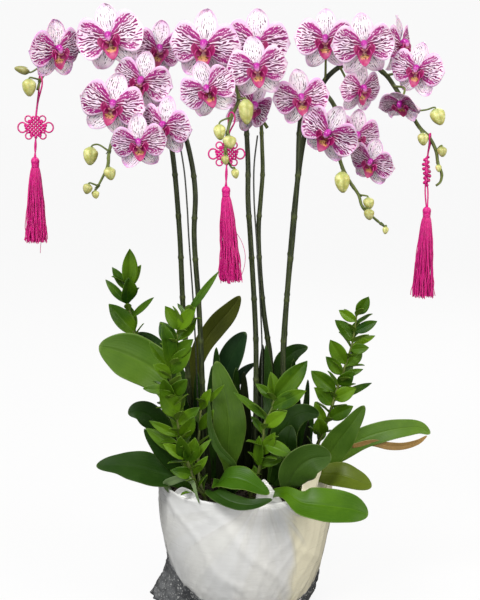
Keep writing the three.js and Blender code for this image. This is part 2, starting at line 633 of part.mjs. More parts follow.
const LEAVES = {
  leaf_left_broad: {
    foot: [-82, -28], look: BRIGHT_LEAF,
    blades: [
      {
        spine: [
          [-110, -35, 326], [-118, -38, 351], [-134, -41, 370], [-156, -44, 384], [-185, -45, 398],
          [-216, -46, 408],
        ],
        halfWidths: [8, 10, 17, 31, 34], face: [0.1, -1, 0.3],
      },
    ],
  },
  leaf_pair_left: {
    foot: [-84, -62], look: ORCHID_LEAF,
    blades: [
      {
        spine: [
          [-100, -66, 208], [-127, -68, 218], [-156, -72, 228], [-188, -76, 234], [-220, -80, 234],
        ],
        halfWidths: [14, 23, 26, 23, 15], face: [0, -0.7, 0.7],
      },
      {
        spine: [
          [-84, -63, 188], [-100, -72, 226], [-120, -80, 252], [-137, -84, 274], [-148, -84, 292],
        ],
        halfWidths: [5, 11, 13, 12, 8], face: [-0.5, -0.8, 0.3],
      },
    ],
  },
  leaf_left_round: {
    foot: [-98, 2], look: ORCHID_LEAF,
    blades: [
      {
        spine: [[-126, 3, 262], [-139, 0, 282], [-153, -3, 293], [-165, -6, 297], [-178, -9, 294]],
        halfWidths: [8, 12, 17, 19], face: [0.1, -0.9, 0.4],
      },
      {
        spine: [[-98, 1, 188], [-92, 2, 222], [-90, 4, 262], [-98, 6, 322]],
        halfWidths: [10, 16, 13], face: [0.1, -1, 0.1],
      },
      {
        spine: [[-98, 3, 188], [-118, 12, 226], [-124, 16, 262], [-118, 16, 305]],
        halfWidths: [9, 16, 13], face: [-0.1, -1, 0.2],
      },
    ],
  },
  leaf_left_back: {
    foot: [-74, 54], look: ORCHID_LEAF,
    blades: [
      {
        spine: [[-102, 60, 322], [-125, 66, 362], [-149, 70, 391], [-169, 70, 402]],
        halfWidths: [9, 12, 15, 14], face: [0.2, -1, 0.3],
      },
    ],
  },
  leaf_centre_upright: {
    foot: [-22, -60], look: BRIGHT_LEAF,
    blades: [
      {
        spine: [[-25, -66, 257], [-24, -69, 294], [-29, -66, 331], [-43, -60, 388]],
        halfWidths: [9, 20, 25, 23, 15], face: [0.2, -1, 0.2],
      },
      {
        spine: [[-21, -61, 188], [-17, -92, 238], [-40, -96, 267], [-51, -93, 297], [-53, -88, 336]],
        halfWidths: [4, 4, 5, 6, 4], face: [-0.3, -1, 0.2],
      },
    ],
  },
  leaf_back_rising: {
    foot: [-46, 36], look: ORCHID_LEAF,
    blades: [
      {
        spine: [
          [-75, 38, 303], [-78, 40, 350], [-67, 40, 388], [-46, 37, 419], [-26, 33, 443],
          [-8, 28, 469],
        ],
        halfWidths: [7, 8, 10, 15, 17], face: [0.3, -1, 0.1],
      },
    ],
  },
  leaf_pair_back: {
    foot: [-22, 60], look: ORCHID_LEAF,
    blades: [
      {
        spine: [[-30, 60, 297], [-30, 60, 337], [-22, 58, 365], [-11, 56, 389], [1, 54, 407]],
        halfWidths: [9, 12, 17, 19], face: [-0.3, -1, 0.1],
      },
      {
        spine: [[-22, 61, 188], [-30, 66, 240], [-21, 70, 311], [-3, 74, 339], [16, 78, 352]],
        halfWidths: [5, 8, 10, 9], face: [0.3, -0.8, 0.5],
      },
      {
        spine: [[-22, 59, 188], [-14, 44, 205], [-8, 30, 243], [3, 30, 300]],
        halfWidths: [8, 14, 12], face: [0.1, -1, 0.1],
      },
    ],
  },
  leaf_pair_front: {
    foot: [-34, -90], look: ORCHID_LEAF,
    blades: [
      {
        spine: [[-40, -104, 214], [-28, -120, 228], [-4, -131, 229], [34, -142, 212]],
        halfWidths: [12, 18, 21, 14], face: [0.1, -0.6, 0.8],
      },
      {
        spine: [[-36, -91, 190], [-46, -124, 209], [-22, -146, 202], [8, -155, 200], [38, -154, 208]],
        halfWidths: [5, 11, 13, 13, 9], face: [-0.1, -0.5, 0.85],
      },
      {
        spine: [[-34, -89, 188], [-20, -95, 210], [-2, -99, 217], [18, -98, 210]],
        halfWidths: [8, 15, 12], face: [0, -0.8, 0.6],
      },
    ],
  },
  leaf_front_bright: {
    foot: [36, -98], look: BRIGHT_LEAF,
    blades: [
      {
        spine: [
          [58, -126, 208], [80, -146, 201], [104, -154, 200], [132, -156, 197], [155, -156, 193],
          [175, -154, 185],
        ],
        halfWidths: [8, 13, 24, 26, 22], face: [0, -0.75, 0.65],
      },
    ],
  },
  leaf_front_grey: {
    foot: [66, -78], look: ORCHID_LEAF,
    blades: [
      {
        spine: [[64, -93, 206], [72, -102, 232], [94, -106, 252], [125, -102, 256]],
        halfWidths: [13, 23, 27, 21], face: [0.2, -1, 0.2],
      },
    ],
  },
  leaf_right_rising: {
    foot: [92, -46], look: ORCHID_LEAF,
    blades: [
      {
        spine: [[118, -50, 230], [138, -54, 262], [158, -58, 292], [176, -58, 320]],
        halfWidths: [14, 20, 20, 13], face: [0.1, -1, 0.2],
      },
    ],
  },
  leaf_right_torn: {
    foot: [86, 2], look: BRIGHT_LEAF,
    blades: [
      {
        spine: [
          [140, -1, 226], [178, -5, 253], [208, -9, 265], [240, -12, 272], [265, -13, 273],
          [281, -14, 264],
        ],
        halfWidths: [9, 12, 12, 12, 10], face: [0, -0.9, 0.4],
      },
      {
        spine: [
          [163, -6, 242], [193, -12, 249], [217, -18, 246], [240, -22, 247], [262, -20, 253],
          [276, -15, 261],
        ],
        halfWidths: [3, 5, 6, 5], face: [0.1, -1, 0.1],
      },
      {
        spine: [[86, 3, 188], [88, 8, 215], [90, 12, 246], [102, 12, 286]],
        halfWidths: [12, 17, 12], face: [0.1, -1, 0.1],
      },
    ],
  },
  leaf_right_low: {
    foot: [88, -66], look: ORCHID_LEAF,
    blades: [
      {
        spine: [[108, -70, 216], [128, -78, 220], [147, -87, 220], [165, -93, 215], [185, -96, 207]],
        halfWidths: [9, 16, 20, 16], face: [0.1, -0.8, 0.6],
      },
    ],
  },
  leaf_centre_dark: {
    foot: [40, -28], look: ORCHID_LEAF,
    blades: [
      {
        spine: [[54, -36, 240], [58, -40, 272], [70, -42, 296], [89, -42, 305], [111, -40, 301]],
        halfWidths: [10, 16, 20, 19, 14], face: [-0.2, -1, 0.2],
      },
      {
        spine: [[41, -28, 188], [57, -46, 219], [58, -52, 245], [62, -54, 267], [68, -52, 288]],
        halfWidths: [6, 15, 20, 17], face: [-0.1, -1, 0.1],
      },
      {
        spine: [[41, -27, 188], [38, -14, 260], [35, 6, 311], [35, 6, 355], [31, 6, 397]],
        halfWidths: [5, 7, 8, 7], face: [0.1, -1, 0.1],
      },
    ],
  },
  leaf_centre_back: {
    foot: [90, 28], look: ORCHID_LEAF,
    blades: [
      {
        spine: [[69, 33, 304], [60, 33, 336], [60, 33, 365], [75, 32, 381], [96, 30, 389]],
        halfWidths: [8, 14, 17, 16], face: [0.1, -1, 0.1],
      },
    ],
  },
};

function leafSolid({ foot, blades }) {
  const [x, y] = foot;
  const [low, high] = footOf(x, y);
  const parts = blades.map(({ spine, halfWidths, face }, i) => {
    const rooted = i === 0;
    const folded = halfWidths.length > SHADE_ROWS;
    const curve = rooted
      ? [low, ...smooth([high.toArray(), ...spine], halfWidths.length + 1)]
      : smooth(spine, halfWidths.length);
    const feet = rooted ? [LEAF_FOOT_WIDTH, LEAF_FOOT_WIDTH] : [];
    return blade({
      spine: curve,
      halfWidths: [...feet, ...halfWidths],
      folds: folded && [...feet.map(() => 0), ...halfWidths.map(() => LEAF_FOLD)],
      face: vector(face).normalize(),
      thickness: LEAF_THICKNESS,
      straight: feet.length,
    });
  });
  slotFor(x, y, LEAF_FOOT_WIDTH, UP.clone().cross(vector(blades[0].face)));
  return fuse(parts);
}

// Leafy companion stems. Each leaflet: its place along the points of its stem, the position of its
// tip, and its width.

const FILLERS = {
  filler_left: {
    foot: [-98, 42],
    stems: [
      {
        route: [
          [-104, 42, 220], [-135, 46, 325], [-154, 50, 376], [-173, 50, 411], [-177, 50, 438],
          [-182, 49, 454], [-178, 47, 480],
        ],
        leaflets: [
          [5.9, -176, 43, 539, 25], [5.8, -160, 57, 512, 15], [5.7, -204, 53, 509, 15],
          [4.9, -178, 33, 496, 28], [4.9, -215, 57, 489, 14], [2.8, -209, 40, 454, 29],
          [3.7, -140, 42, 464, 11], [2.9, -182, 64, 449, 19],
        ],
      },
    ],
  },
  filler_front: {
    foot: [-60, -92],
    stems: [
      {
        route: [
          [-70, -96, 205], [-88, -100, 257], [-95, -101, 285], [-99, -101, 316], [-108, -99, 347],
          [-108, -97, 381], [-103, -94, 405], [-97, -92, 439], [-86, -90, 462],
        ],
        leaflets: [
          [7.1, -115, -100, 478, 20], [7.1, -71, -102, 477, 21], [7.9, -38, -88, 527, 11],
          [5.2, -118, -111, 456, 24], [6.4, -123, -85, 452, 24], [5, -138, -101, 426, 16],
          [6.6, -71, -86, 456, 21], [5.9, -75, -106, 431, 20], [4.8, -132, -113, 395, 20],
          [4.9, -78, -106, 420, 24], [4, -84, -114, 374, 21], [3.9, -118, -116, 375, 21],
          [4.2, -148, -101, 357, 14], [3, -124, -116, 359, 32], [2.6, -66, -113, 332, 18],
          [1.9, -74, -117, 320, 21], [2, -139, -109, 311, 14], [1, -145, -98, 297, 21],
          [0.9, -119, -118, 279, 18], [0.9, -94, -122, 292, 21], [0.8, -73, -110, 286, 24],
          [0.7, -50, -99, 281, 11], [0.4, -55, -105, 257, 12], [0.2, -117, -122, 217, 22],
        ],
      },
      {
        route: [[-68, -88, 215], [-70, -80, 243], [-68, -74, 287], [-65, -72, 325]],
        leaflets: [[2.9, -31, -82, 358, 9], [2.8, -50, -84, 352, 16], [2, -46, -88, 322, 16]],
      },
    ],
  },
  filler_centre: {
    foot: [8, -74],
    stems: [
      {
        route: [
          [17, -78, 212], [21, -82, 233], [26, -87, 271], [28, -89, 302], [39, -88, 325], [42, -86, 344],
        ],
        leaflets: [
          [4.8, 89, -92, 396, 30], [4, 87, -102, 354, 24], [4.7, 15, -92, 362, 14],
          [3.2, -17, -94, 350, 12], [2.8, 60, -101, 324, 21], [2, 69, -105, 258, 21],
          [1, 20, -94, 284, 16], [1.5, 43, -96, 290, 18], [4.5, 37, -77, 376, 21], [1.1, 57, -90, 250, 15],
        ],
      },
    ],
  },
  filler_right: {
    foot: [76, -26],
    stems: [
      {
        route: [
          [80, -24, 206], [102, -14, 230], [117, -13, 265], [130, -14, 303], [138, -14, 332],
          [151, -15, 373], [160, -16, 404], [165, -17, 439], [166, -17, 453],
        ],
        leaflets: [
          [7.7, 183, -21, 477, 19], [7, 139, -23, 457, 15], [6.5, 196, -22, 440, 16],
          [6.1, 135, -12, 440, 22], [5.9, 195, -8, 415, 11], [5.7, 184, -28, 401, 16],
          [5, 127, -19, 411, 24], [4.6, 120, -27, 387, 19], [4.9, 176, -5, 393, 20],
          [4.5, 176, -24, 367, 11], [4.2, 161, -27, 365, 22], [3.9, 99, -18, 363, 26],
          [3.5, 166, -24, 338, 22], [3.2, 103, -26, 339, 22], [3.5, 192, -4, 341, 12],
          [2.6, 162, -25, 310, 22], [2.4, 105, -10, 312, 16], [1.9, 110, -26, 292, 24],
        ],
      },
    ],
  },
};

function leafletSolids(points, leaflets) {
  return leaflets.map(([place, x, y, z, width], i) => {
    const below = Math.min(Math.floor(place), points.length - 2);
    const root = points[below].clone().lerp(points[below + 1], place - below);
    const tip = new THREE.Vector3(x, y, z);
    const direction = tip.clone().sub(root).normalize();
    const face = new THREE.Vector3(LEAFLET_TURNS[i % LEAFLET_TURNS.length], -1, LEAFLET_TILT);
    face.addScaledVector(direction, -face.dot(direction)).normalize();
    const middle = root.clone().lerp(tip, LEAFLET_BROADEST).addScaledVector(face, LEAFLET_BOW);
    const halfWidths = [LEAFLET_STALK, width / 2];
    return blade({ spine: [root, middle, tip], halfWidths, face, thickness: LEAFLET_THICKNESS });
  });
}

function fillerSolid({ foot, stems }) {
  const [x, y] = foot;
  const parts = [];
  boreFor(x, y, FILLER_RADIUS);
  for (const stem of stems) {
    const points = [...footOf(x, y), ...stem.route.map(vector)];
    parts.push(tube(points, taper(points.length, FILLER_RADIUS, FILLER_TIP_RADIUS), STEM_SIDES));
    parts.push(...leafletSolids(points.slice(2), stem.leaflets));
  }
  return fuse(parts);
}

// Support wires beside two spikes

const SUPPORTS = {
  support_left: {
    route: [
      [-71, -12, 250], [-72, -12, 316], [-77, -10, 451], [-84, -8, 567], [-86, -4, 608],
      [-90, 0, 660], [-96, 6, 698],
    ],
  },
  support_centre: {
    route: [
      [25, -4, 250], [25, -3, 313], [25, 1, 406], [17, 9, 554], [13, 13, 617], [13, 20, 668], [18, 26, 712],
    ],
  },
};

function supportSolid({ route }) {
  const [x, y] = route[0];
  const points = [...footOf(x, y), ...route.map(vector)];
  boreFor(x, y, WIRE_RADIUS);
  return tube(points, points.map(() => WIRE_RADIUS), STEM_SIDES);
}

// Silk ornaments. Each hangs by a loop round its spike. The knot is a woven diamond with looped
// corners, and the tassel is a bound head over a ridged skirt.

const ORNAMENTS = {
  left: { spike: "A", knot: [-306, -10, 726], head: [-308, -10, 683], end: [-310, -10, 556], turn: 0 },
  centre: { spike: "C", knot: [-27, -64, 692], head: [-28, -64, 646], end: [-21, -64, 506], turn: 0 },
  right: { spike: "F", knot: [263, -28, 664], head: [265, -28, 612], end: [262, -28, 477], turn: 1.45 },
};

function knotSolid({ spike, knot, head, turn }) {
  const [x, y, z] = knot;
  const core = new THREE.BoxGeometry(KNOT_WIDTH * 0.44, KNOT_THICKNESS, KNOT_WIDTH * 0.44);
  core.rotateY(Math.PI / 4);
  const woven = [core];
  for (const hand of [-1, 1]) {
    const ear = new THREE.TorusGeometry(KNOT_HEIGHT * 0.17, CORD_RADIUS, 3, 8);
    ear.rotateX(Math.PI / 2);
    ear.translate(hand * KNOT_WIDTH * 0.37, 0, 0);
    woven.push(ear);
    for (const level of [-1, 1]) {
      const corner = new THREE.TorusGeometry(KNOT_HEIGHT * 0.12, CORD_RADIUS, 3, 5);
      corner.rotateX(Math.PI / 2);
      corner.translate(hand * KNOT_WIDTH * 0.2, 0, level * KNOT_HEIGHT * 0.32);
      woven.push(corner);
    }
  }
  const parts = woven.map((part) => solidOf(part.rotateZ(turn).translate(x, y, z)));
  parts.push(hangerSolid(SPIKES[spike], new THREE.Vector3(x, y, z + KNOT_HEIGHT * 0.3)));
  const ends = [new THREE.Vector3(x, y, z - KNOT_HEIGHT * 0.3), vector(head)];
  ends[1].z += SEAT_GAP;
  parts.push(tube(ends, [CORD_RADIUS * 1.5, CORD_RADIUS * 1.5], CORD_SIDES));
  return fuse(parts);
}

// The cord runs up from the knot, over the spike with a small clearance, and back to itself
function hangerSolid({ route, loop }, start) {
  const [before, held, after] = [-1, 0, 1].map((step) => vector(route[loop + step]));
  const along = after.sub(before).normalize();
  const level = Math.hypot(along.x, along.y);
  const side = new THREE.Vector3(-along.y, along.x, 0).normalize();
  const clear = radiusAt(route, loop) + SEAT_GAP + CORD_RADIUS;
  const around = (across, rise) => held.clone().addScaledVector(side, across).addScaledVector(UP, rise);
  const join = start.clone().lerp(held, 0.45);
  const points = [
    start,
    join,
    around(-clear - 1, -6),
    around(-clear - 1, 1),
    around(-clear / 2, clear / level),
    around(clear / 2, clear / level),
    around(clear + 1, 1),
    around(clear + 1, -6),
    join,
  ];
  return tube(points, points.map(() => CORD_RADIUS), CORD_SIDES);
}

function tasselSolid({ head, end }) {
  const profile = [[0, -TASSEL_HEAD], [6, -TASSEL_HEAD], [6.5, -3], [4, 0], [0, 0]];
  const crown = new THREE.LatheGeometry(
    profile.map(([radius, height]) => new THREE.Vector2(radius, height)),
    TASSEL_RIDGES / 2,
  );
  crown.rotateX(Math.PI / 2);
  crown.translate(...head);
  const positions = [];
  const triangles = [];
  const levels = [[0, 4.5], [0.25, 9.5], [1, TASSEL_WIDTH / 2]];
  const from = new THREE.Vector3(head[0], head[1], head[2] - TASSEL_HEAD + 1);
  const drop = vector(end).sub(from);
  levels.forEach(([fraction, radius]) => {
    for (let k = 0; k < TASSEL_RIDGES; k += 1) {
      const angle = (2 * Math.PI * k) / TASSEL_RIDGES;
      const reach = radius * (k % 2 ? 0.82 : 1);
      const corner = from.clone().addScaledVector(drop, fraction);
      positions.push(corner.x + reach * Math.cos(angle), corner.y + reach * Math.sin(angle), corner.z);
    }
  });
  for (let i = 0; i + 1 < levels.length; i += 1) {
    for (let k = 0; k < TASSEL_RIDGES; k += 1) {
      const a = i * TASSEL_RIDGES + k;
      const b = i * TASSEL_RIDGES + ((k + 1) % TASSEL_RIDGES);
      triangles.push(b, a, a + TASSEL_RIDGES, b, a + TASSEL_RIDGES, b + TASSEL_RIDGES);
    }
  }
  const ends = [from, vector(end)];
  ends.forEach((centre) => positions.push(...centre.toArray()));
  const top = levels.length * TASSEL_RIDGES;
  for (let k = 0; k < TASSEL_RIDGES; k += 1) {
    const next = (k + 1) % TASSEL_RIDGES;
    const low = (levels.length - 1) * TASSEL_RIDGES;
    triangles.push(top, k, next, top + 1, low + next, low + k);
  }
  return fuse([solidOf(crown), solidOf(indexed(positions, triangles))]);
}

// The whole plant

function build() {
  for (const [name, spike] of Object.entries(SPIKES)) {
    addPiece(`spike_${name}`, spikeSolid(spike), STEM_GREEN);
  }
  for (const [name, bloom] of Object.entries(BLOOMS)) {
    addPiece(`bloom_${name}`, bloomSolid(bloom), PETAL_LOOK, bloomPose(bloom));
  }
  for (const [name, leaf] of Object.entries(LEAVES)) {
    addPiece(name, leafSolid(leaf), leaf.look);
  }
  for (const [name, filler] of Object.entries(FILLERS)) {
    addPiece(name, fillerSolid(filler), FILLER_LEAF);
  }
  for (const [name, support] of Object.entries(SUPPORTS)) {
    addPiece(name, supportSolid(support), WIRE);
  }
  for (const [name, ornament] of Object.entries(ORNAMENTS)) {
    addPiece(`knot_${name}`, knotSolid(ornament), SILK);
    addPiece(`tassel_${name}`, tasselSolid(ornament), SILK);
  }
  addPiece("pot", potSolid(), GLAZE);
  addPiece("growing_medium", soilSolid(), BARK);
  addPiece("stretch_film", stretchFilmSolid(), FILM);
  addPiece("foot_film", footFilmSolid(), DARK_FILM);
}

build();

export default group;
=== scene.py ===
# %% [markdown]
# A moth orchid in a pot, from the frame to the finished look. Six arching spikes of spotted blooms
# stand in a white pot that is wrapped in clear film, among broad orchid leaves and the leafy stems
# of a companion plant, and three silk tassels hang from the spikes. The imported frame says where
# each piece stands and how big it is. This lesson dresses it piece by piece: soft petals, glossy
# leaves, bark, film and thread. All lengths are in metres, with +Z up and +Y away from the camera.

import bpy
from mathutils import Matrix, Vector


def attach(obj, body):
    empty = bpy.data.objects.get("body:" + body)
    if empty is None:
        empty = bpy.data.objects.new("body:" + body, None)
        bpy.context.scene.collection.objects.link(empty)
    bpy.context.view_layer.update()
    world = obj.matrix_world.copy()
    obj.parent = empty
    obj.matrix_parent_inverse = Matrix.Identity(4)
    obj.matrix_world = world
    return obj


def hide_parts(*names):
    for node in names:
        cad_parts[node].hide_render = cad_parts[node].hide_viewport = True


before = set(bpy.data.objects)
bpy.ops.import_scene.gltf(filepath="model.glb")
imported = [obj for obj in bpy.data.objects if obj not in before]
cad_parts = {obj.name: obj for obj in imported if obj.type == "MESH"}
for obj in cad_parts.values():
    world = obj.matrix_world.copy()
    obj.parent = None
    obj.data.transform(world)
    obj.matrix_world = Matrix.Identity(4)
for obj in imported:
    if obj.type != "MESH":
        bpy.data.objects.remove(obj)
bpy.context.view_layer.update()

# %% [markdown]
# Plants are grown from curves and thin sheets, so a few helpers do most of the work: a smooth path
# through given points, a round tube along a path, and a sheet with a front, a back and a rim.
# Ready-made modifiers could thicken and bend flat meshes too, but plain lists of points make it
# easy to store, beside each point, where it lies along and across its petal or leaf. The materials
# read that place later to draw veins and spots that follow the surface.

# %% Units, paths and lists of points
import math

import bpy
import numpy as np

MM = 0.001
TURN = 2 * math.pi
GOLDEN_ANGLE = 2.39996


def mm(values):
    """Lengths in millimetres, as the layout lists below give them, in metres."""
    return np.array(values, float) * MM


def unit(vector):
    return vector / np.maximum(np.linalg.norm(vector, axis=-1, keepdims=True), 1e-12)


def resample(line, count):
    """Points at even steps along a line of points."""
    steps = np.linalg.norm(np.diff(line, axis=0), axis=1)
    along = np.concatenate([[0.0], np.cumsum(steps)])
    at = np.linspace(0.0, along[-1], count)
    return np.column_stack([np.interp(at, along, line[:, k]) for k in range(line.shape[1])])


def smooth_path(points, count):
    """Even steps along a soft curve that passes through every given point."""
    points = np.asarray(points, float)
    padded = np.vstack([2 * points[0] - points[1], points, 2 * points[-1] - points[-2]])
    dense = []
    for corners in zip(padded, padded[1:], padded[2:], padded[3:]):
        gaps = [max(np.linalg.norm(q - p), 1e-9) ** 0.5 for p, q in zip(corners, corners[1:])]
        t0, t1, t2, t3 = np.concatenate([[0.0], np.cumsum(gaps)])
        t = np.linspace(t1, t2, 24, endpoint=False)[:, None]
        a, b, c, d = corners
        ab = ((t1 - t) * a + (t - t0) * b) / (t1 - t0)
        bc = ((t2 - t) * b + (t - t1) * c) / (t2 - t1)
        cd = ((t3 - t) * c + (t - t2) * d) / (t3 - t2)
        left = ((t2 - t) * ab + (t - t0) * bc) / (t2 - t0)
        right = ((t3 - t) * bc + (t - t1) * cd) / (t3 - t1)
        dense.append(((t2 - t) * left + (t - t1) * right) / (t2 - t1))
    return resample(np.vstack([*dense, points[-1]]), count)


def smooth_values(values, at):
    """A soft curve through values at even steps from 0 to 1, read at the given places."""
    largest = np.max(np.abs(values))
    pairs = np.column_stack([np.linspace(0, 1, len(values)), np.asarray(values) / largest])
    curve = smooth_path(pairs, 20 * len(values))
    return largest * np.interp(at, curve[:, 0], curve[:, 1])


print("helpers ready; a metre is", 1 / MM, "of the layout's units")

# %% Sheets, tubes and turned shapes


def grid_quads(rows, columns, closed=False):
    """Four corners for each cell of a grid of points, joined round its columns if closed."""
    index = np.arange(rows * columns).reshape(rows, columns)
    if closed:
        index = np.column_stack([index, index[:, 0]])
    corners = [index[:-1, :-1], index[:-1, 1:], index[1:, 1:], index[1:, :-1]]
    return np.stack([corner.ravel() for corner in corners], axis=1)


def sheet(middle, thickness, place, look):
    """A closed thin sheet round a grid of middle points. It carries, for every point, its place
    (along, across, number) and its look, whose last value is 1 on the front and 0 on the back."""
    rows, columns = middle.shape[:2]
    count = rows * columns
    normal = unit(np.cross(np.gradient(middle, axis=1), np.gradient(middle, axis=0)))
    half = np.broadcast_to(np.asarray(thickness) / 2, (rows, columns))[..., None]
    front = grid_quads(rows, columns)
    index = np.arange(count).reshape(rows, columns)
    edge = np.concatenate([index[0], index[1:, -1], index[-1, -2::-1], index[-2:0:-1, 0]])
    following = np.roll(edge, -1)
    rim = np.stack([edge, edge + count, following + count, following], axis=1)
    look = np.asarray(look, float).reshape(count, 2)
    faces = [(middle + normal * half).reshape(-1, 3), (middle - normal * half).reshape(-1, 3)]
    looks = [np.column_stack([look, np.full(count, side)]) for side in (1.0, 0.0)]
    return {
        "points": np.vstack(faces),
        "quads": np.vstack([front, front[:, ::-1] + count, rim]),
        "place": np.vstack([np.asarray(place, float).reshape(count, 3)] * 2),
        "look": np.vstack(looks),
    }


def tube(path, radii, sides=10, number=0.0, squash=1.0):
    """A closed round bar along a path, with one radius for each point."""
    path = np.asarray(path, float)
    radii = np.broadcast_to(radii, len(path))
    forward = unit(np.gradient(path, axis=0))
    spoke = np.array([0.0, 1.0, 0.0]) if abs(forward[0][0]) > 0.9 else np.array([1.0, 0.0, 0.0])
    angles = np.linspace(0, TURN, sides, endpoint=False)
    rings = []
    for centre, along, radius in zip(path, forward, radii):
        spoke = unit(spoke - along * np.dot(spoke, along))
        beside = np.cross(along, spoke)
        ring = np.outer(np.cos(angles), spoke) + squash * np.outer(np.sin(angles), beside)
        rings.append(centre + radius * ring)
    rows = len(path)
    travelled = np.concatenate([[0.0], np.cumsum(np.linalg.norm(np.diff(path, axis=0), axis=1))])
    place = np.array([[s, angle / TURN, number] for s in travelled for angle in angles])
    last = (rows - 1) * sides
    return {
        "points": np.vstack(rings),
        "quads": grid_quads(rows, sides, closed=True),
        "caps": [list(range(sides))[::-1], list(range(last, last + sides))],
        "place": place,
        "look": np.zeros((rows * sides, 3)),
    }


def turned(profile, sides, reshape=None):
    """A profile of (radius, height) pairs turned round the upright axis; its ends are on the axis
    or meet each other."""
    profile = np.asarray(profile, float)
    angles = np.linspace(0, TURN, sides, endpoint=False)
    on_axis = profile[0][0] < 1e-9
    body = profile[1:-1] if on_axis else profile
    rings = np.array([[[r * math.cos(a), r * math.sin(a), z] for a in angles] for r, z in body])
    if reshape:
        rings = reshape(rings)
    rows = len(body)
    quads = grid_quads(rows, sides, closed=True)
    points = rings.reshape(-1, 3)
    caps = []
    if on_axis:
        ends = np.array([[0, 0, profile[0][1]], [0, 0, profile[-1][1]]])
        first = len(points)
        final = first + 1
        points = np.vstack([points, ends])
        last = (rows - 1) * sides
        for k in range(sides):
            following = (k + 1) % sides
            caps += [[first, following, k], [final, last + k, last + following]]
    else:
        quads = np.vstack([quads, join_rows(rows - 1, 0, sides)])
    around = np.arctan2(points[:, 1], points[:, 0])
    place = np.column_stack([points[:, 2], around, np.zeros(len(points))])
    look = np.zeros_like(place)
    return {"points": points, "quads": quads, "caps": caps, "place": place, "look": look}


def join_rows(lower, upper, sides):
    """Faces between two closed rows of a grid, given by their numbers."""
    here = np.arange(sides)
    after = (here + 1) % sides
    below = lower * sides
    above = upper * sides
    return np.stack([below + here, below + after, above + after, above + here], axis=1)


def moved(shape, matrix, shift=(0, 0, 0)):
    """The same shape turned by the columns of a matrix and shifted."""
    return {**shape, "points": shape["points"] @ np.asarray(matrix).T + np.asarray(shift)}


print("a test tube has", len(tube([[0, 0, 0], [0, 0, 1]], 0.1)["points"]), "points")

# %% Turn shapes into a named piece
pieces = {}


def keep_piece(name, mesh, nodes=(), slot=None):
    """Links a finished mesh, and notes which frame nodes it stands for and whose finish it takes."""
    made = bpy.data.objects.new(name, mesh)
    bpy.context.scene.collection.objects.link(made)
    mesh.shade_smooth()
    pieces[name] = (made, nodes, slot)
    return made


def piece(name, shapes, materials, nodes=(), slot=None):
    """Joins shapes into one mesh object. A shape's paint says which of the materials it takes."""
    offsets = np.cumsum([0] + [len(shape["points"]) for shape in shapes])
    faces = []
    paints = []
    for shape, offset in zip(shapes, offsets):
        added = (shape["quads"] + offset).tolist()
        added += [[corner + offset for corner in cap] for cap in shape.get("caps", [])]
        faces += added
        paints += [shape.get("paint", 0)] * len(added)
    mesh = bpy.data.meshes.new(name)
    mesh.from_pydata(np.vstack([shape["points"] for shape in shapes]).tolist(), [], faces)
    for key in ("place", "look", "tint"):
        values = np.vstack([shape.get(key, np.zeros_like(shape["points"])) for shape in shapes])
        stored = mesh.attributes.new(key, "FLOAT_VECTOR", "POINT")
        stored.data.foreach_set("vector", values.astype(np.float32).ravel())
    for material in materials:
        mesh.materials.append(material)
    mesh.polygons.foreach_set("material_index", paints)
    return keep_piece(name, mesh, nodes, slot)


print("ready to make pieces")

# %% [markdown]
# The camera stands two metres in front of the plant, a little above it, and looks slightly down, as
# a person does who takes a picture of a tall pot on a floor. One large lamp from the upper left
# models the leaves, and three weaker ones, at the right, in front and behind, soften its shadows. A
# white room would light the plant from all sides and flatten it, so the room is white only for the
# camera and dimmer as a source of light.

# %% Camera and soft light
CAMERA_PLACE = (-0.008, -2.0, 0.85)
CAMERA_TARGET = (-0.008, 0.0, 0.468)
CAMERA_LENS = 81.4
CAMERA_NEAR = 0.05


def aim(thing, target):
    """Turns a camera or lamp from where it stands to look at a point."""
    offset = Vector(target) - thing.location
    thing.rotation_euler = offset.to_track_quat("-Z", "Y").to_euler()


def add_lamp(name, place, target, size, power, colour=(1, 1, 1)):
    lamp = bpy.data.lights.new(name, "AREA")
    lamp.shape = "DISK"
    lamp.size = size
    lamp.energy = power
    lamp.color = colour
    holder = bpy.data.objects.new(name, lamp)
    bpy.context.scene.collection.objects.link(holder)
    holder.location = place
    aim(holder, target)


scene = bpy.context.scene
scene.view_settings.view_transform = "Standard"
camera = bpy.data.objects.new("camera", bpy.data.cameras.new("camera"))
scene.collection.objects.link(camera)
camera.location = CAMERA_PLACE
camera.data.lens = CAMERA_LENS
camera.data.clip_start = CAMERA_NEAR
aim(camera, CAMERA_TARGET)
scene.camera = camera
add_lamp("key_lamp", (-1.1, -1.6, 2.4), (0, 0, 0.5), 1.1, 60, (1.0, 0.99, 0.97))
add_lamp("fill_lamp", (1.8, -1.2, 1.2), (0, 0, 0.4), 1.2, 26, (1.0, 0.95, 0.88))
add_lamp("front_lamp", (-0.3, -2.6, 0.7), (0, 0, 0.25), 1.4, 16)
add_lamp("back_lamp", (0.6, 1.9, 1.9), (0, 0, 0.6), 1.2, 20)
print("camera at", tuple(camera.location), "and", len(bpy.data.lights), "lamps")

# %% Room and floor
ROOM_COLOUR = (0.93, 0.93, 0.93, 1.0)
ROOM_SEEN = 1.02
ROOM_LIGHT = 0.6
FLOOR_REACH = 12.0
FLOOR_DROP = 0.0005
scene.world = bpy.data.worlds.new("pale room")
scene.world.use_nodes = True
room = scene.world.node_tree
seen = room.nodes.new("ShaderNodeLightPath").outputs["Is Camera Ray"]
strength = room.nodes.new("ShaderNodeMapRange")
strength.inputs["To Min"].default_value = ROOM_LIGHT
strength.inputs["To Max"].default_value = ROOM_SEEN
room.links.new(seen, strength.inputs["Value"])
room.links.new(strength.outputs[0], room.nodes["Background"].inputs["Strength"])
room.nodes["Background"].inputs["Color"].default_value = ROOM_COLOUR

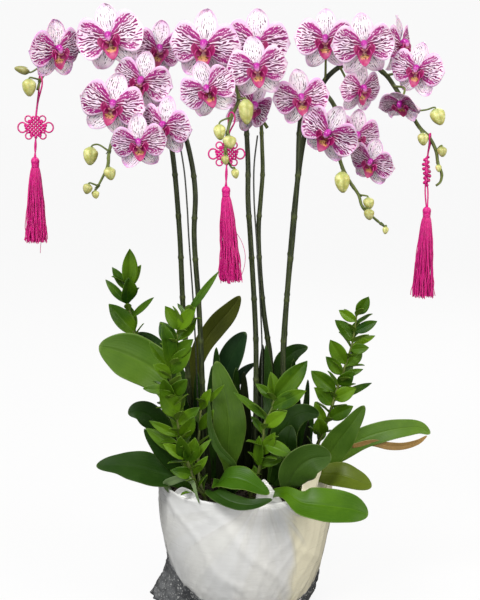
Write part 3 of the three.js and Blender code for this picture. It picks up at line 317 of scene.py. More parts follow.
floor_mesh = bpy.data.meshes.new("floor")
corners = [(-1, -1), (1, -1), (1, 1), (-1, 1)]
floor_points = [(x * FLOOR_REACH, y * FLOOR_REACH, -FLOOR_DROP) for x, y in corners]
floor_mesh.from_pydata(floor_points, [], [(0, 1, 2, 3)])
floor = bpy.data.objects.new("floor", floor_mesh)
scene.collection.objects.link(floor)
print("floor reaches", FLOOR_REACH, "metres each way")

# %% [markdown]
# Every finish is a small tree of shader nodes. Photographs could be wrapped round the pieces
# instead, but a tree has no seams, keeps its sharpness at any distance and can be tuned with a
# number. Trees written out node by node are hard to read. So a small class stands for a node's
# output, and plain sums and products of such outputs add the Math nodes. The numbers in the formulas
# were tuned by looking at the render beside the picture of the real plant.

# %% Nodes that read like formulas


class Output:
    """A node's output. Arithmetic on it adds Math nodes to its tree."""

    def __init__(self, socket):
        self.socket = socket

    def __add__(self, other):
        return calc("ADD", self, other)

    def __sub__(self, other):
        return calc("SUBTRACT", self, other)

    def __rsub__(self, other):
        return calc("SUBTRACT", other, self)

    def __mul__(self, other):
        return calc("MULTIPLY", self, other)

    def __truediv__(self, other):
        return calc("DIVIDE", self, other)

    def __pow__(self, other):
        return calc("POWER", self, other)

    def __abs__(self):
        return calc("ABSOLUTE", self)

    __radd__ = __add__
    __rmul__ = __mul__


def tree_of(*values):
    """The node tree of the first output among some values."""
    return next(value.socket.id_data for value in values if isinstance(value, Output))


def node(tree, kind, sockets=None, **settings):
    """Adds a node, sets its settings, and fills its sockets with values or links."""
    made = tree.nodes.new(kind)
    for key, value in settings.items():
        setattr(made, key, value)
    for key, value in (sockets or {}).items():
        if isinstance(value, Output):
            tree.links.new(value.socket, made.inputs[key])
        else:
            made.inputs[key].default_value = value
    return made


def result(tree, kind, sockets=None, output=0, **settings):
    """Adds a node in the same way and gives one of its outputs."""
    return Output(node(tree, kind, sockets, **settings).outputs[output])


def calc(operation, *values, clamp=False):
    sockets = dict(enumerate(values))
    return result(tree_of(*values), "ShaderNodeMath", sockets, operation=operation, use_clamp=clamp)


def sine(value):
    return calc("SINE", value)


def larger(first, second):
    return calc("MAXIMUM", first, second)


def smaller(first, second):
    return calc("MINIMUM", first, second)


def clamped(value):
    """The value, kept between 0 and 1."""
    return calc("ADD", value, 0.0, clamp=True)


def between(value, low, high):
    """0 below low, 1 above high and a soft step in between."""
    sockets = {"Value": value, "From Min": low, "From Max": high}
    return result(tree_of(value), "ShaderNodeMapRange", sockets, interpolation_type="SMOOTHSTEP")


def mixed(share, first, second):
    """The first colour where the share is 0, the second where it is 1."""
    return result(tree_of(share), "ShaderNodeMix", {0: share, 6: first, 7: second}, 2, data_type="RGBA")


def noise(vector, scale, detail=2.0, roughness=0.5):
    sockets = {"Vector": vector, "Scale": scale, "Detail": detail, "Roughness": roughness}
    return result(tree_of(vector), "ShaderNodeTexNoise", sockets, "Fac")


def combine(x, y, z=0.0):
    return result(tree_of(x, y, z), "ShaderNodeCombineXYZ", {0: x, 1: y, 2: z})


def parts_of(vector):
    """The three numbers of a vector."""
    return [Output(socket) for socket in node(tree_of(vector), "ShaderNodeSeparateXYZ", {0: vector}).outputs]


def attribute(tree, name):
    """The three numbers stored beside each point under a name."""
    return parts_of(result(tree, "ShaderNodeAttribute", output="Vector", attribute_name=name))


def object_place(tree):
    return result(tree, "ShaderNodeTexCoord", output="Object")


def bumped(height, distance, strength=1.0):
    sockets = {"Height": height, "Distance": distance, "Strength": strength}
    return result(tree_of(height), "ShaderNodeBump", sockets)


print("formulas add nodes, such as", calc.__name__, "and", noise.__name__)

# %% A finish with one surface


def new_finish(name, **sockets):
    """An empty material with one Principled surface, whose plain sockets are set directly."""
    made = bpy.data.materials.new(name)
    made.use_nodes = True
    tree = made.node_tree
    tree.nodes.clear()
    values = {key.replace("_", " "): value for key, value in sockets.items()}
    surface = node(tree, "ShaderNodeBsdfPrincipled", values)
    output = node(tree, "ShaderNodeOutputMaterial")
    tree.links.new(surface.outputs[0], output.inputs["Surface"])
    return made, tree, surface


def connect(surface, **links):
    for key, output in links.items():
        surface.id_data.links.new(output.socket, surface.inputs[key.replace("_", " ")])


def rgb(red, green, blue):
    return (red, green, blue, 1.0)


FLOOR_GLOW = 0.875
FLOOR_GREY = rgb(0.06, 0.06, 0.06)
floor_finish, floor_tree, floor_surface = new_finish("plain floor", Roughness=1.0, Base_Color=FLOOR_GREY)
floor_seen = result(floor_tree, "ShaderNodeLightPath", output="Is Camera Ray")
connect(floor_surface, Emission_Strength=floor_seen * FLOOR_GLOW)
floor.data.materials.append(floor_finish)
print("floor finish:", len(floor_tree.nodes), "nodes")

# %% [markdown]
# The petals make this orchid. Dark purple dashes follow the veins, which fan out from the heart and
# fork half way to the rim. They crowd into a magenta maze above and below and leave a clear margin
# with a lilac flush. The pattern is worked out from each point's place along and across its petal:
# waves across the fan give the rows, noise that is drawn out along them cuts the rows into dashes,
# and a level decides how much is dark. A painted image could do it too, but each bloom would then
# look the same. The sepals take fewer and finer dashes.

# %% Petal finish
SPOT_DARK = rgb(0.12, 0.001, 0.065)
SPOT_HEART = rgb(0.26, 0.001, 0.1)
SPOT_MAGENTA = rgb(0.36, 0.003, 0.2)
SPOT_SEPAL = rgb(0.1, 0.03, 0.08)
PETAL_WHITE = rgb(0.96, 0.89, 0.94)
PETAL_BACK = rgb(0.8, 0.62, 0.74)
EDGE_LILAC = rgb(0.78, 0.38, 0.72)
PETAL_BLUSH = 0.2
PATTERN_SHIFT = 7.31
PETAL_VEINS = 6
VEIN_RELIEF = 0.00012


def petal_finish():
    made, tree, surface = new_finish("spotted petal", Roughness=0.5, Subsurface_Weight=0.08,
                                     Subsurface_Scale=0.001)
    along, across, number = attribute(tree, "place")
    edge, sepal, front = attribute(tree, "look")
    flush, aside = attribute(tree, "tint")[:2]
    petal_only = 1 - sepal
    shifted = number * PATTERN_SHIFT
    warp = noise(combine(along * 5, across, shifted), 1.1, 1.0)
    row = across + (warp * 1.1 - 0.55)
    single = sine(row * TURN)
    double = sine(row * (2 * TURN))
    fork = between(along, 0.34, 0.5) * petal_only
    wave = single + fork * (double - single)
    cuts = noise(combine(along * (sepal * 6 + 7), row * 2, shifted), 1.0, 1.0) * 8 - 3.3
    crowd = between(abs(aside), 0.3, 0.62) * between(along, 0.85, 0.55) * petal_only
    level = crowd * 0.15 + 0.22 + between(along, 0.5, 0.15) * 0.65 - between(along, 0.6, 1.0) * 0.25
    level = level + sepal * (along * -0.35 - 0.25 - level)
    level = level - between(edge, 0.24, 0.06) * between(along, 0.1, 0.3) * 2
    strength = smaller(wave + level, cuts + level * 1.6)
    maze = abs(noise(combine(along * 10, across * 1.8, shifted), 1.6, 1.0) - 0.5)
    maze = between(maze, 0.1, 0.07) * between(edge, 0.1, 0.24) * crowd
    dark = larger(between(strength, -0.05, 0.2), maze)
    blush = noise(combine(along, across * 0.3, shifted), 1.6, 1.0)
    lilac = (between(edge, 0.3, 0.0) * 0.45 + between(blush, 0.4, 0.7) * 0.25) * (flush * 1.3 + 0.5)
    lilac = lilac + sepal * between(along, 0.72, 1.0) * 0.35 + petal_only * PETAL_BLUSH
    lilac = clamped(lilac + between(strength, -0.9, 0.0) * 0.14)
    spots = mixed(between(along, 0.2, 0.4), SPOT_HEART, SPOT_DARK)
    spots = mixed(larger(crowd, between(along, 0.6, 1.0)), spots, SPOT_MAGENTA)
    spots = mixed(sepal, spots, SPOT_SEPAL)
    faced = mixed(dark, mixed(lilac, PETAL_WHITE, EDGE_LILAC), spots)
    colour = mixed(front, mixed(dark * 0.3, PETAL_BACK, SPOT_MAGENTA), faced)
    veins = sine(across * (PETAL_VEINS * TURN))
    connect(surface, Base_Color=colour, Normal=bumped(veins, VEIN_RELIEF, 0.6))
    return made


petal = petal_finish()
print("petal finish:", len(petal.node_tree.nodes), "nodes")

# %% [markdown]
# The heart of the bloom has colours of its own. The lip is a scoop with a golden brown throat, a
# crimson tongue and two dark crimson side lobes, and the column above it is a waxy magenta knob with
# a pale underside. They are smooth and a little shiny, so they get a coat that the petals lack.

# %% Lip and column finishes
THROAT_MAUVE = rgb(0.5, 0.18, 0.24)
THROAT_GOLD = rgb(0.52, 0.26, 0.07)
THROAT_PEACH = rgb(0.8, 0.3, 0.17)
THROAT_BROWN = rgb(0.13, 0.012, 0.004)
LIP_CRIMSON = rgb(0.4, 0.012, 0.12)
LIP_RIM = rgb(0.52, 0.04, 0.24)
LOBE_CRIMSON = rgb(0.28, 0.001, 0.09)
COLUMN_MAGENTA = rgb(0.42, 0.006, 0.3)
COLUMN_PALE = rgb(0.82, 0.38, 0.72)


def lip_finish():
    made, tree, surface = new_finish("lip", Roughness=0.4, Coat_Weight=0.15, Coat_Roughness=0.4)
    along, across, number = attribute(tree, "place")
    front = attribute(tree, "look")[2]
    aside = abs(across)
    bars = noise(combine(along * 7, across * 2.4, number), 1.5, 1.0)
    throat = mixed(between(along, 0.25, 0.45), THROAT_MAUVE, THROAT_GOLD)
    throat = mixed(between(along, 0.5, 0.62), throat, THROAT_PEACH)
    throat = mixed(between(bars, 0.54, 0.6), throat, THROAT_BROWN)
    inside = between(aside, 0.75, 0.45) * between(along, 0.68, 0.56) * (1 - front)
    flesh = mixed(between(aside, 0.6, 0.95), LIP_CRIMSON, LIP_RIM)
    lobe = mixed(between(aside, 0.7, 1.0), LOBE_CRIMSON, LIP_RIM)
    colour = mixed(between(along, 1.4, 1.6), mixed(inside, flesh, throat), lobe)
    connect(surface, Base_Color=colour, Normal=bumped(sine(across * 40), 0.0001, 0.5))
    return made


def column_finish():
    made, tree, surface = new_finish("column", Roughness=0.3, Coat_Weight=0.3, Coat_Roughness=0.2)
    height = attribute(tree, "look")[0]
    cloudy = noise(object_place(tree), 260.0)
    share = clamped(between(height, -0.01, 0.05) + (cloudy * 0.6 - 0.3))
    colour = mixed(share, COLUMN_PALE, COLUMN_MAGENTA)
    connect(surface, Base_Color=colour, Normal=bumped(cloudy, 0.0002, 0.4))
    return made


lip = lip_finish()
column = column_finish()
print("made", lip.name, "and", column.name)

# %% [markdown]
# Orchid leaves are thick and leathery. Light runs along them in a broad sheen, a groove follows the
# midrib, and fine parallel veins show only where the light grazes them. Each kind of leaf on this
# plant has its own green, so one function makes them all. The companion stems have thinner, yellower
# leaflets with a stronger gloss.

# %% Leaf finishes


def leaf_finish(name, deep, light, back, gloss, vein_count, patchy=0.4):
    made, tree, surface = new_finish(name, Coat_Weight=0.04, Coat_Roughness=gloss, Specular_IOR_Level=0.14)
    along, across, number = attribute(tree, "place")
    edge, fresh, front = attribute(tree, "look")
    place = object_place(tree)
    cloud = noise(place, 18.0, 3.0)
    mottle = noise(place, 140.0, 3.0, 0.6)
    veins = sine(across * (vein_count * math.pi))
    streaks = noise(combine(along * 2, across * 9, number), 2.0)
    share = clamped(between(cloud, 0.35, 0.7) * patchy + streaks * 0.35 + fresh * 0.6)
    colour = mixed(share, deep, light)
    colour = mixed(between(abs(across), 0.05, 0.0) * 0.4, colour, light)
    colour = mixed(between(edge, 0.07, 0.0) * 0.5, colour, back)
    colour = mixed(between(mottle, 0.5, 0.75) * 0.18, colour, light)
    colour = mixed(front, back, colour)
    own = result(tree, "ShaderNodeTexWhiteNoise", {"W": number}, "Value", noise_dimensions="1D")
    colour = mixed(own * 0.45, colour, deep)
    relief = bumped(veins * 0.35 + mottle, 0.0002, 0.5)
    connect(surface, Base_Color=colour, Roughness=mottle * 0.25 + 0.28, Normal=relief)
    return made


LEAF_GREENS = {
    "deep": [(0.007, 0.028, 0.002), (0.032, 0.08, 0.007), (0.12, 0.19, 0.04)],
    "blue": [(0.005, 0.022, 0.006), (0.022, 0.06, 0.016), (0.12, 0.2, 0.07)],
    "bright": [(0.03, 0.09, 0.001), (0.085, 0.19, 0.003), (0.22, 0.32, 0.06)],
    "olive": [(0.05, 0.12, 0.008), (0.13, 0.23, 0.022), (0.24, 0.33, 0.09)],
    "brown": [(0.035, 0.045, 0.005), (0.085, 0.1, 0.012), (0.2, 0.2, 0.06)],
    "grey": [(0.024, 0.06, 0.006), (0.055, 0.11, 0.014), (0.15, 0.2, 0.06)],
    "fresh": [(0.012, 0.05, 0.001), (0.055, 0.14, 0.003), (0.2, 0.3, 0.05)],
    "mid": [(0.03, 0.075, 0.005), (0.085, 0.165, 0.014), (0.2, 0.27, 0.07)],
    "yellow": [(0.05, 0.075, 0.003), (0.13, 0.18, 0.01), (0.2, 0.23, 0.05)],
    "tan": [(0.16, 0.1, 0.03), (0.5, 0.3, 0.1), (0.5, 0.36, 0.16)],
    # The 'shade' green is painted shade: nearly black, for blades set where the plant's inside lies in
    # shadow.
    "shade": [(0.004, 0.007, 0.002), (0.018, 0.025, 0.006), (0.035, 0.045, 0.015)],
    "pale": [(0.08, 0.13, 0.05), (0.2, 0.28, 0.12), (0.36, 0.44, 0.26)],
}
LEAFLET_GREENS = [rgb(0.012, 0.05, 0.001), rgb(0.11, 0.22, 0.006), rgb(0.16, 0.27, 0.03)]
leaf_greens = {
    tone: leaf_finish(f"leaf {tone}", *(rgb(*colour) for colour in colours), 0.35, 14)
    for tone, colours in LEAF_GREENS.items()
}
leaflet_green = leaf_finish("leaflet", *LEAFLET_GREENS, 0.2, 8, 0.7)
print("leaf finishes:", *leaf_greens, leaflet_green.name)

# %% [markdown]
# Flower spikes are dark olive and waxy, with pale scars at the joints and a fresher green towards
# the tips, where new buds form. Buds are pale yellow green with darker seams where the closed sepals
# meet. Both finishes read what their mesh stores at each point: how fresh the stem is, and how near
# to a seam of the bud the point lies.

# %% Stem and bud finishes
STEM_GREENS = [rgb(0.014, 0.02, 0.008), rgb(0.055, 0.072, 0.024)]
TIP_GREENS = [rgb(0.07, 0.1, 0.022), rgb(0.2, 0.24, 0.06)]
STEM_SCAR = rgb(0.24, 0.24, 0.15)
BUD_GREENS = [rgb(0.5, 0.5, 0.12), rgb(0.78, 0.78, 0.34)]
BUD_FOOT = rgb(0.25, 0.33, 0.09)
BUD_OLIVE = rgb(0.22, 0.2, 0.08)
BUD_SEAM = rgb(0.3, 0.3, 0.1)


def stem_finish():
    made, tree, surface = new_finish("flower stem", Coat_Weight=0.06, Coat_Roughness=0.3,
                                     Specular_IOR_Level=0.2)
    along, around, number = attribute(tree, "place")
    tip = attribute(tree, "look")[0]
    speckle = noise(object_place(tree), 420.0, 3.0, 0.65)
    streak = noise(combine(along * 30, around * 8, number), 1.6)
    old = mixed(between(streak, 0.3, 0.75), *STEM_GREENS)
    fresh = mixed(between(streak, 0.3, 0.7), *TIP_GREENS)
    colour = mixed(between(speckle, 0.6, 0.74) * 0.35, mixed(tip, old, fresh), STEM_SCAR)
    connect(surface, Base_Color=colour, Roughness=speckle * 0.3 + 0.3, Normal=bumped(speckle, 0.0003, 0.5))
    return made


def bud_finish():
    made, tree, surface = new_finish("bud", Roughness=0.42, Coat_Weight=0.2, Coat_Roughness=0.3,
                                     Subsurface_Weight=0.1, Subsurface_Scale=0.003)
    along = attribute(tree, "place")[0]
    seam, olive = attribute(tree, "look")[:2]
    cloud = noise(object_place(tree), 160.0, 3.0)
    pale = mixed(between(cloud, 0.35, 0.7), *BUD_GREENS)
    pale = mixed(between(along, 0.3, 0.0) * 0.6, pale, BUD_FOOT)
    pale = mixed(olive * 0.7, pale, BUD_OLIVE)
    connect(surface, Base_Color=mixed(seam * 0.55, pale, BUD_SEAM), Normal=bumped(cloud, 0.0003, 0.4))
    return made


stem = stem_finish()
bud = bud_finish()
print("made", stem.name, "and", bud.name)

# %% [markdown]
# Below the leaves are the made things. The pot is white glaze. Clear stretch film is wound round it,
# and shows only as gloss, grey streaks that fan out from a point at the rim, a pale yellow strip at
# the right that is painted warm light, and small pale specks low down that are painted glints, so
# its colour is nearly that of the pot and its bump does the work. The crumpled film at the foot is
# nearly black, with the same painted glints. Bark is dull brown, and the silk threads have a sheen
# that follows each strand.

# %% Glaze and film finishes
GLAZE_WHITES = [rgb(0.95, 0.95, 0.93), rgb(0.98, 0.98, 0.96)]
# Pale yellow painted warm light, laid on the right side of the clear film.
FILM_PAINTED_WARM_LIGHT = rgb(0.99, 0.94, 0.72)
# Pale specks of painted glint for the crinkled film low down.
FILM_PAINTED_GLINT = rgb(0.9, 0.9, 0.86)
FAN_POINT = (0.182, 0.21)
FAN_RADIUS = 0.133


def glaze_finish():
    made, tree, surface = new_finish("white glaze", Roughness=0.12, Coat_Weight=0.6, Coat_Roughness=0.05)
    cloud = noise(object_place(tree), 14.0, 3.0)
    ripple = noise(object_place(tree), 45.0)
    colour = mixed(cloud, *GLAZE_WHITES)
    connect(surface, Base_Color=colour, Normal=bumped(ripple, 0.0006, 0.25))
    return made


def film_finish(name, clear, colour, streak_colour, glint, warm_light_share):
    """Thin film: see-through where it lies flat, denser where it is creased or doubled. Its colour
    also carries painted glints low down and, on the clear film, a painted strip of warm light.
    """
    made, tree, surface = new_finish(name, Coat_Weight=0.5, Coat_Roughness=0.08, IOR=1.45)
    height, around = attribute(tree, "place")[:2]
    aside = around * FAN_RADIUS + FAN_POINT[0]
    below = FAN_POINT[1] - height
    fan = calc("ARCTAN2", aside, below)
    far = (aside * aside + below * below) ** 0.5
    bands = noise(combine(fan * 3, far * 4, 3.0), 1.3)
    lines = noise(combine(height * 160, around * 2.2, 1.0), 1.2, 3.0, 0.7)
    crinkle = noise(object_place(tree), 55.0, 4.0, 0.6)
    low_down = (between(height, 0.11, 0.02) * 0.85 + 0.15) * glint
    density = between(bands, 0.6, 0.36) * 0.6 + lines * 0.3
    ragged = around + (bands - 0.5) * 0.9
    # Painted warm light: a pale yellow strip at the right, where warm light falls, that also makes the film
    # less clear there.
    painted_warm_light = between(ragged, -1.14, -0.86) * between(around, 0.9, 0.3) * warm_light_share
    base = mixed(painted_warm_light, mixed(density, colour, streak_colour), FILM_PAINTED_WARM_LIGHT)
    # Painted highlights: pale glint specks in the film's colour, most of them low down.
    painted_glint = noise(object_place(tree), 330.0, 2.0, 0.6)
    base = mixed(clamped(between(painted_glint, 0.56, 0.74) * low_down * 0.4), base, FILM_PAINTED_GLINT)
    alpha = larger(clamped(clear + density * (1 - clear)), painted_warm_light * 0.9)
    relief = bumped(lines * 0.25 + crinkle * low_down, 0.001, 0.5)
    connect(surface, Base_Color=base, Alpha=alpha, Roughness=lines * 0.3 + 0.16, Normal=relief)
    return made


glaze = glaze_finish()
# The last number is how much painted warm light the film gets: all on the clear film, none on the dark one.
clear_film = film_finish("clear film", 0.4, rgb(0.98, 0.98, 0.95), rgb(0.84, 0.85, 0.85), 1.8, 1.0)
dark_film = film_finish("dark film", 0.9, rgb(0.02, 0.021, 0.024), rgb(0.12, 0.125, 0.13), 1.6, 0.0)
print("made", glaze.name, clear_film.name, dark_film.name)

# %% Bark, silk and wire finishes
BARK_BROWNS = [rgb(0.014, 0.01, 0.006), rgb(0.05, 0.035, 0.02)]
BARK_GRAIN = rgb(0.16, 0.12, 0.07)
SILK_REDS = [rgb(0.42, 0.001, 0.12), rgb(0.78, 0.006, 0.28)]
SILK_SHEEN = rgb(1.0, 0.3, 0.65)
SILK_TWIST = 3600
WIRE_GREENS = [rgb(0.02, 0.026, 0.018), rgb(0.09, 0.1, 0.07)]


def bark_finish():
    made, tree, surface = new_finish("bark", Roughness=0.85)
    grain = noise(object_place(tree), 300.0, 4.0, 0.65)
    cloud = noise(object_place(tree), 40.0)
    colour = mixed(between(cloud, 0.35, 0.65), *BARK_BROWNS)
    colour = mixed(between(grain, 0.55, 0.7) * 0.4, colour, BARK_GRAIN)
    connect(surface, Base_Color=colour, Normal=bumped(grain, 0.001, 0.8))
    return made


def silk_finish():
    made, tree, surface = new_finish("magenta silk", Roughness=0.42, Sheen_Weight=0.2, Sheen_Roughness=0.35,
                                     Sheen_Tint=SILK_SHEEN, Anisotropic=0.4)
    along, around = attribute(tree, "place")[:2]
    twist = sine(along * SILK_TWIST + around * TURN)
    colour = mixed(noise(object_place(tree), 240.0, 3.0), *SILK_REDS)
    connect(surface, Base_Color=colour, Normal=bumped(twist, 0.0002, 0.5))
    return made


def wire_finish():
    made, tree, surface = new_finish("support wire", Metallic=0.3, Coat_Weight=0.3, Coat_Roughness=0.2)
    scuffs = noise(object_place(tree), 500.0, 3.0, 0.6)
    colour = mixed(between(scuffs, 0.5, 0.7), *WIRE_GREENS)
    connect(surface, Base_Color=colour, Roughness=scuffs * 0.3 + 0.25)
    return made


bark = bark_finish()
silk = silk_finish()
wire = wire_finish()
print("finishes in all:", len(bpy.data.materials))

# %% [markdown]
# The pot is turned on a wheel, so its wall is one profile swept round the upright axis. A soft
# curve through five points gives the wall, a small half circle rounds the rim, and the inside
# follows the outside at the thickness of the wall. A screw modifier would turn the same profile,
# but mesh code keeps the exact points and lets the films below reuse the wall's radius.

# %% Pot
POT_WALL_LINE = [(86, 0), (101, 20), (119, 70), (129, 125), (133, 192)]
POT_WALL = 7
POT_FLOOR = 12
POT_HEIGHT = 192
RIM_ROUND = 3.5
FOOT_FLAT = [(0, 0), (70, 0), (84.5, 0)]
FLOOR_FLAT = [(60, POT_FLOOR), (0, POT_FLOOR)]
wall_line = smooth_path(POT_WALL_LINE, 80)


def wall_radius(height):
    """Radius of the pot's outer face at a height, both in millimetres."""
    return np.interp(height, wall_line[:, 1], wall_line[:, 0])


def pot_profile():
    brim = POT_HEIGHT - RIM_ROUND
    outside = [(wall_radius(z), z) for z in np.linspace(1.5, brim, 40)]
    middle = wall_radius(POT_HEIGHT) - RIM_ROUND
    turns = np.linspace(0, math.pi, 9)[1:-1]
    rim = [(middle + RIM_ROUND * math.cos(t), brim + RIM_ROUND * math.sin(t)) for t in turns]
    inside = [(wall_radius(z) - POT_WALL, z) for z in np.linspace(brim, POT_FLOOR, 24)]
    return mm(FOOT_FLAT + outside + rim + inside + FLOOR_FLAT)


pot = piece("pot_shell", [turned(pot_profile(), 128)], [glaze], ["pot"], "glaze")
print("pot:", len(pot.data.polygons), "faces,", round(pot.dimensions.x, 3), "m across")

# %% [markdown]
# Orchids grow in chips of bark, not in earth. A lumpy bed fills the pot up to a low mound, and loose
# chips lie on it. The bed is turned like the pot, and a soft noise lifts and lowers its top. A flat
# disc with a bump would do from afar, but here one looks in between the leaves.

# %% Growing medium
from mathutils import noise as wobble_noise

SOIL_EDGE = 172
SOIL_CENTRE = 186
SOIL_REACH = 125
BED_GAP = 0.4


def wobble(points, scale, seed=0.0):
    """A soft random value between about -1 and 1 for each point."""
    shift = Vector((seed * 3.1, seed * 1.7, seed * 5.3))
    flat = np.asarray(points, float).reshape(-1, 3)
    values = [wobble_noise.noise(Vector(p) * scale + shift) for p in flat]
    return np.array(values).reshape(np.asarray(points).shape[:-1])


def mound_height(radius):
    return SOIL_CENTRE + (SOIL_EDGE - SOIL_CENTRE) * (radius / SOIL_REACH) ** 2


def medium_profile():
    bottom = POT_FLOOR + BED_GAP
    side = [(wall_radius(z) - POT_WALL - BED_GAP, z) for z in np.linspace(bottom, SOIL_EDGE, 12)]
    top = [(r, mound_height(r)) for r in np.linspace(122, 3, 40)]
    return mm([(0, bottom)] + side + top + [(0, SOIL_CENTRE)])


def lumpy_top(rings):
    high = rings[..., 2] > SOIL_EDGE * MM * 0.99
    rings[..., 2] += high * (0.0022 * wobble(rings, 90.0) + 0.0012 * wobble(rings, 260.0, 2.0) - 0.002)
    return rings


bed = piece("medium_bed", [turned(medium_profile(), 96, lumpy_top)], [bark], ["growing_medium"], "bark")
print("bed:", len(bed.data.polygons), "faces")

# %% [markdown]
# Placing hundreds of chips by hand would be slow, so Geometry Nodes scatter one chip over the bed at
# random, turn and stretch each copy, and dent them all with a noise, so that no two are alike. The
# tree is built in code, with the number and size of the chips as inputs. First come a few helpers
# that every such tree uses: one opens a tree, one closes it, and one runs it on a starting mesh.

# %% Geometry Nodes helpers
SOCKET_KINDS = {float: "NodeSocketFloat", int: "NodeSocketInt", type(None): "NodeSocketObject"}


def geometry_tree(name, **inputs):
    """A new tree with a geometry input and output, and named inputs with their usual values."""
    tree = bpy.data.node_groups.new(name, "GeometryNodeTree")
    for way in ("INPUT", "OUTPUT"):
        tree.interface.new_socket("Geometry", in_out=way, socket_type="NodeSocketGeometry")
    for key, value in inputs.items():
        added = tree.interface.new_socket(key, in_out="INPUT", socket_type=SOCKET_KINDS[type(value)])
        added.default_value = value
    tree.interface.new_socket("Finish", in_out="INPUT", socket_type="NodeSocketMaterial")
    given = tree.nodes.new("NodeGroupInput").outputs
    return tree, {socket.name: Output(socket) for socket in given if socket.name}


def close_tree(tree, given, geometry):
    """Ends the tree: instances become real geometry and take the finish."""
    real = result(tree, "GeometryNodeRealizeInstances", {0: geometry})
    finished = node(tree, "GeometryNodeSetMaterial", {"Geometry": real, "Material": given["Finish"]})
    output = tree.nodes.new("NodeGroupOutput")
    tree.links.new(finished.outputs[0], output.inputs[0])


def grown(name, start, tree, finish, **values):
    """Runs a tree on a starting mesh and returns the result as a plain mesh."""
    seedling = bpy.data.objects.new(name + "_start", start)
    bpy.context.scene.collection.objects.link(seedling)
    modifier = seedling.modifiers.new("grow", "NODES")
    modifier.node_group = tree
    values["Finish"] = finish
    for item in tree.interface.items_tree:
        if item.in_out == "INPUT" and item.name != "Geometry":
            modifier[item.identifier] = values[item.name] if item.name in values else item.default_value
    evaluated = seedling.evaluated_get(bpy.context.evaluated_depsgraph_get())
    mesh = bpy.data.meshes.new_from_object(evaluated)
    seedling.modifiers.remove(modifier)
    bpy.data.objects.remove(seedling)
    mesh.name = name
    return mesh


def plain_mesh(name, points, edges=(), faces=()):
    mesh = bpy.data.meshes.new(name)
    mesh.from_pydata([tuple(p) for p in points], [tuple(e) for e in edges], [tuple(f) for f in faces])
    return mesh


def random_number(tree, low, high, seed, **more):
    """A random number for each copy. More sockets, such as ID, can be given."""
    return result(tree, "FunctionNodeRandomValue", {2: low, 3: high, "Seed": seed, **more}, 1)


def random_vector(tree, low, high, seed):
    sockets = {0: low, 1: high, "Seed": seed}
    return result(tree, "FunctionNodeRandomValue", sockets, data_type="FLOAT_VECTOR")


def shaken(place, scale, detail, strength):
    """A random shift for each place, as strong to one side as to the other."""
    tree = tree_of(place)
    cloud = result(tree, "ShaderNodeTexNoise", {"Vector": place, "Scale": scale, "Detail": detail}, "Color")
    centred = result(tree, "ShaderNodeVectorMath", {0: cloud, 1: (0.5, 0.5, 0.5)}, operation="SUBTRACT")
    return result(tree, "ShaderNodeVectorMath", {0: centred, "Scale": strength}, operation="SCALE")


print("Geometry Nodes helpers ready")

# %% Bark chips
CHIP_TURNS = (0.9, 0.9, 6.28)
CHIP_SMALL = (0.5, 0.3, 0.12)
CHIP_LARGE = (1.2, 0.7, 0.35)
BED_RINGS = 14
BED_SIDES = 36


def chip_tree():
    tree, given = geometry_tree("bark chips", Density=14000.0, Size=0.0085, Seed=7)
    scatter = {"Mesh": given["Geometry"], "Density": given["Density"], "Seed": given["Seed"]}
    spots = result(tree, "GeometryNodeDistributePointsOnFaces", scatter, "Points")
    ball = result(tree, "GeometryNodeMeshIcoSphere", {"Radius": 1.0, "Subdivisions": 2})
    turn = random_vector(tree, (0.0, 0.0, 0.0), CHIP_TURNS, given["Seed"])
    stretch = {0: random_vector(tree, CHIP_SMALL, CHIP_LARGE, 3), "Scale": given["Size"]}
    sized = result(tree, "ShaderNodeVectorMath", stretch, operation="SCALE")
    scattered = {"Points": spots, "Instance": ball, "Rotation": turn, "Scale": sized}
    copies = result(tree, "GeometryNodeInstanceOnPoints", scattered)
    real = result(tree, "GeometryNodeRealizeInstances", {0: copies})
    dent = shaken(result(tree, "GeometryNodeInputPosition"), 190.0, 3.0, 0.009)
    close_tree(tree, given, result(tree, "GeometryNodeSetPosition", {"Geometry": real, "Offset": dent}))
    return tree


def bed_top():
    points = []
    for radius in np.linspace(8, 112, BED_RINGS):
        for angle in np.linspace(0, TURN, BED_SIDES, endpoint=False):
            points.append((radius * math.cos(angle), radius * math.sin(angle), mound_height(radius) + 0.5))
    faces = grid_quads(BED_RINGS, BED_SIDES, closed=True)[:, ::-1].tolist()
    return plain_mesh("bed top", mm(points), faces=faces)


chips_mesh = grown("bark_chips", bed_top(), chip_tree(), bark)
chips = keep_piece("bark_chips", chips_mesh, ["growing_medium"], "bark")
print("chips:", len(chips.data.polygons), "faces")

# %% [markdown]
# Stretch film is wound round the pot for the journey. Pulled tight, it lies close to the wall with
# long slanting creases, and it stands up past the rim in an uneven edge that sags at the front. Its
# lower part is crinkled, and at three places a loose corner stands up behind the front leaves. Cloth
# simulation could wrap it, but the film hardly moves once it clings, so creases are simply added to
# the wall's radius, always outwards so that they never cut the pot.

# %% Stretch film
FILM_THICKNESS = 0.8
FILM_ROWS = 44
FILM_SIDES = 288
FILM_FOOT = 4
FILM_EDGE = 198
FILM_LIFT = 4.3
FLAPS = [
    (
        [(12, -120, 184), (34, -121, 186), (58, -113, 184)],
        [(20, -104, 216), (27, -103, 221), (36, -105, 212)],
        -1.3,
    ),
    (
        [(80, -107, 186), (104, -85, 188), (122, -55, 190)],
        [(84, -98, 217), (106, -80, 230), (125, -52, 232)],
        -0.8,
    ),
    (
        [(-107, -75, 176), (-87, -95, 176), (-62, -114, 176)],
        [(-108, -80, 191), (-94, -97, 207), (-80, -106, 205), (-64, -118, 193)],
        -2.2,
    ),
]


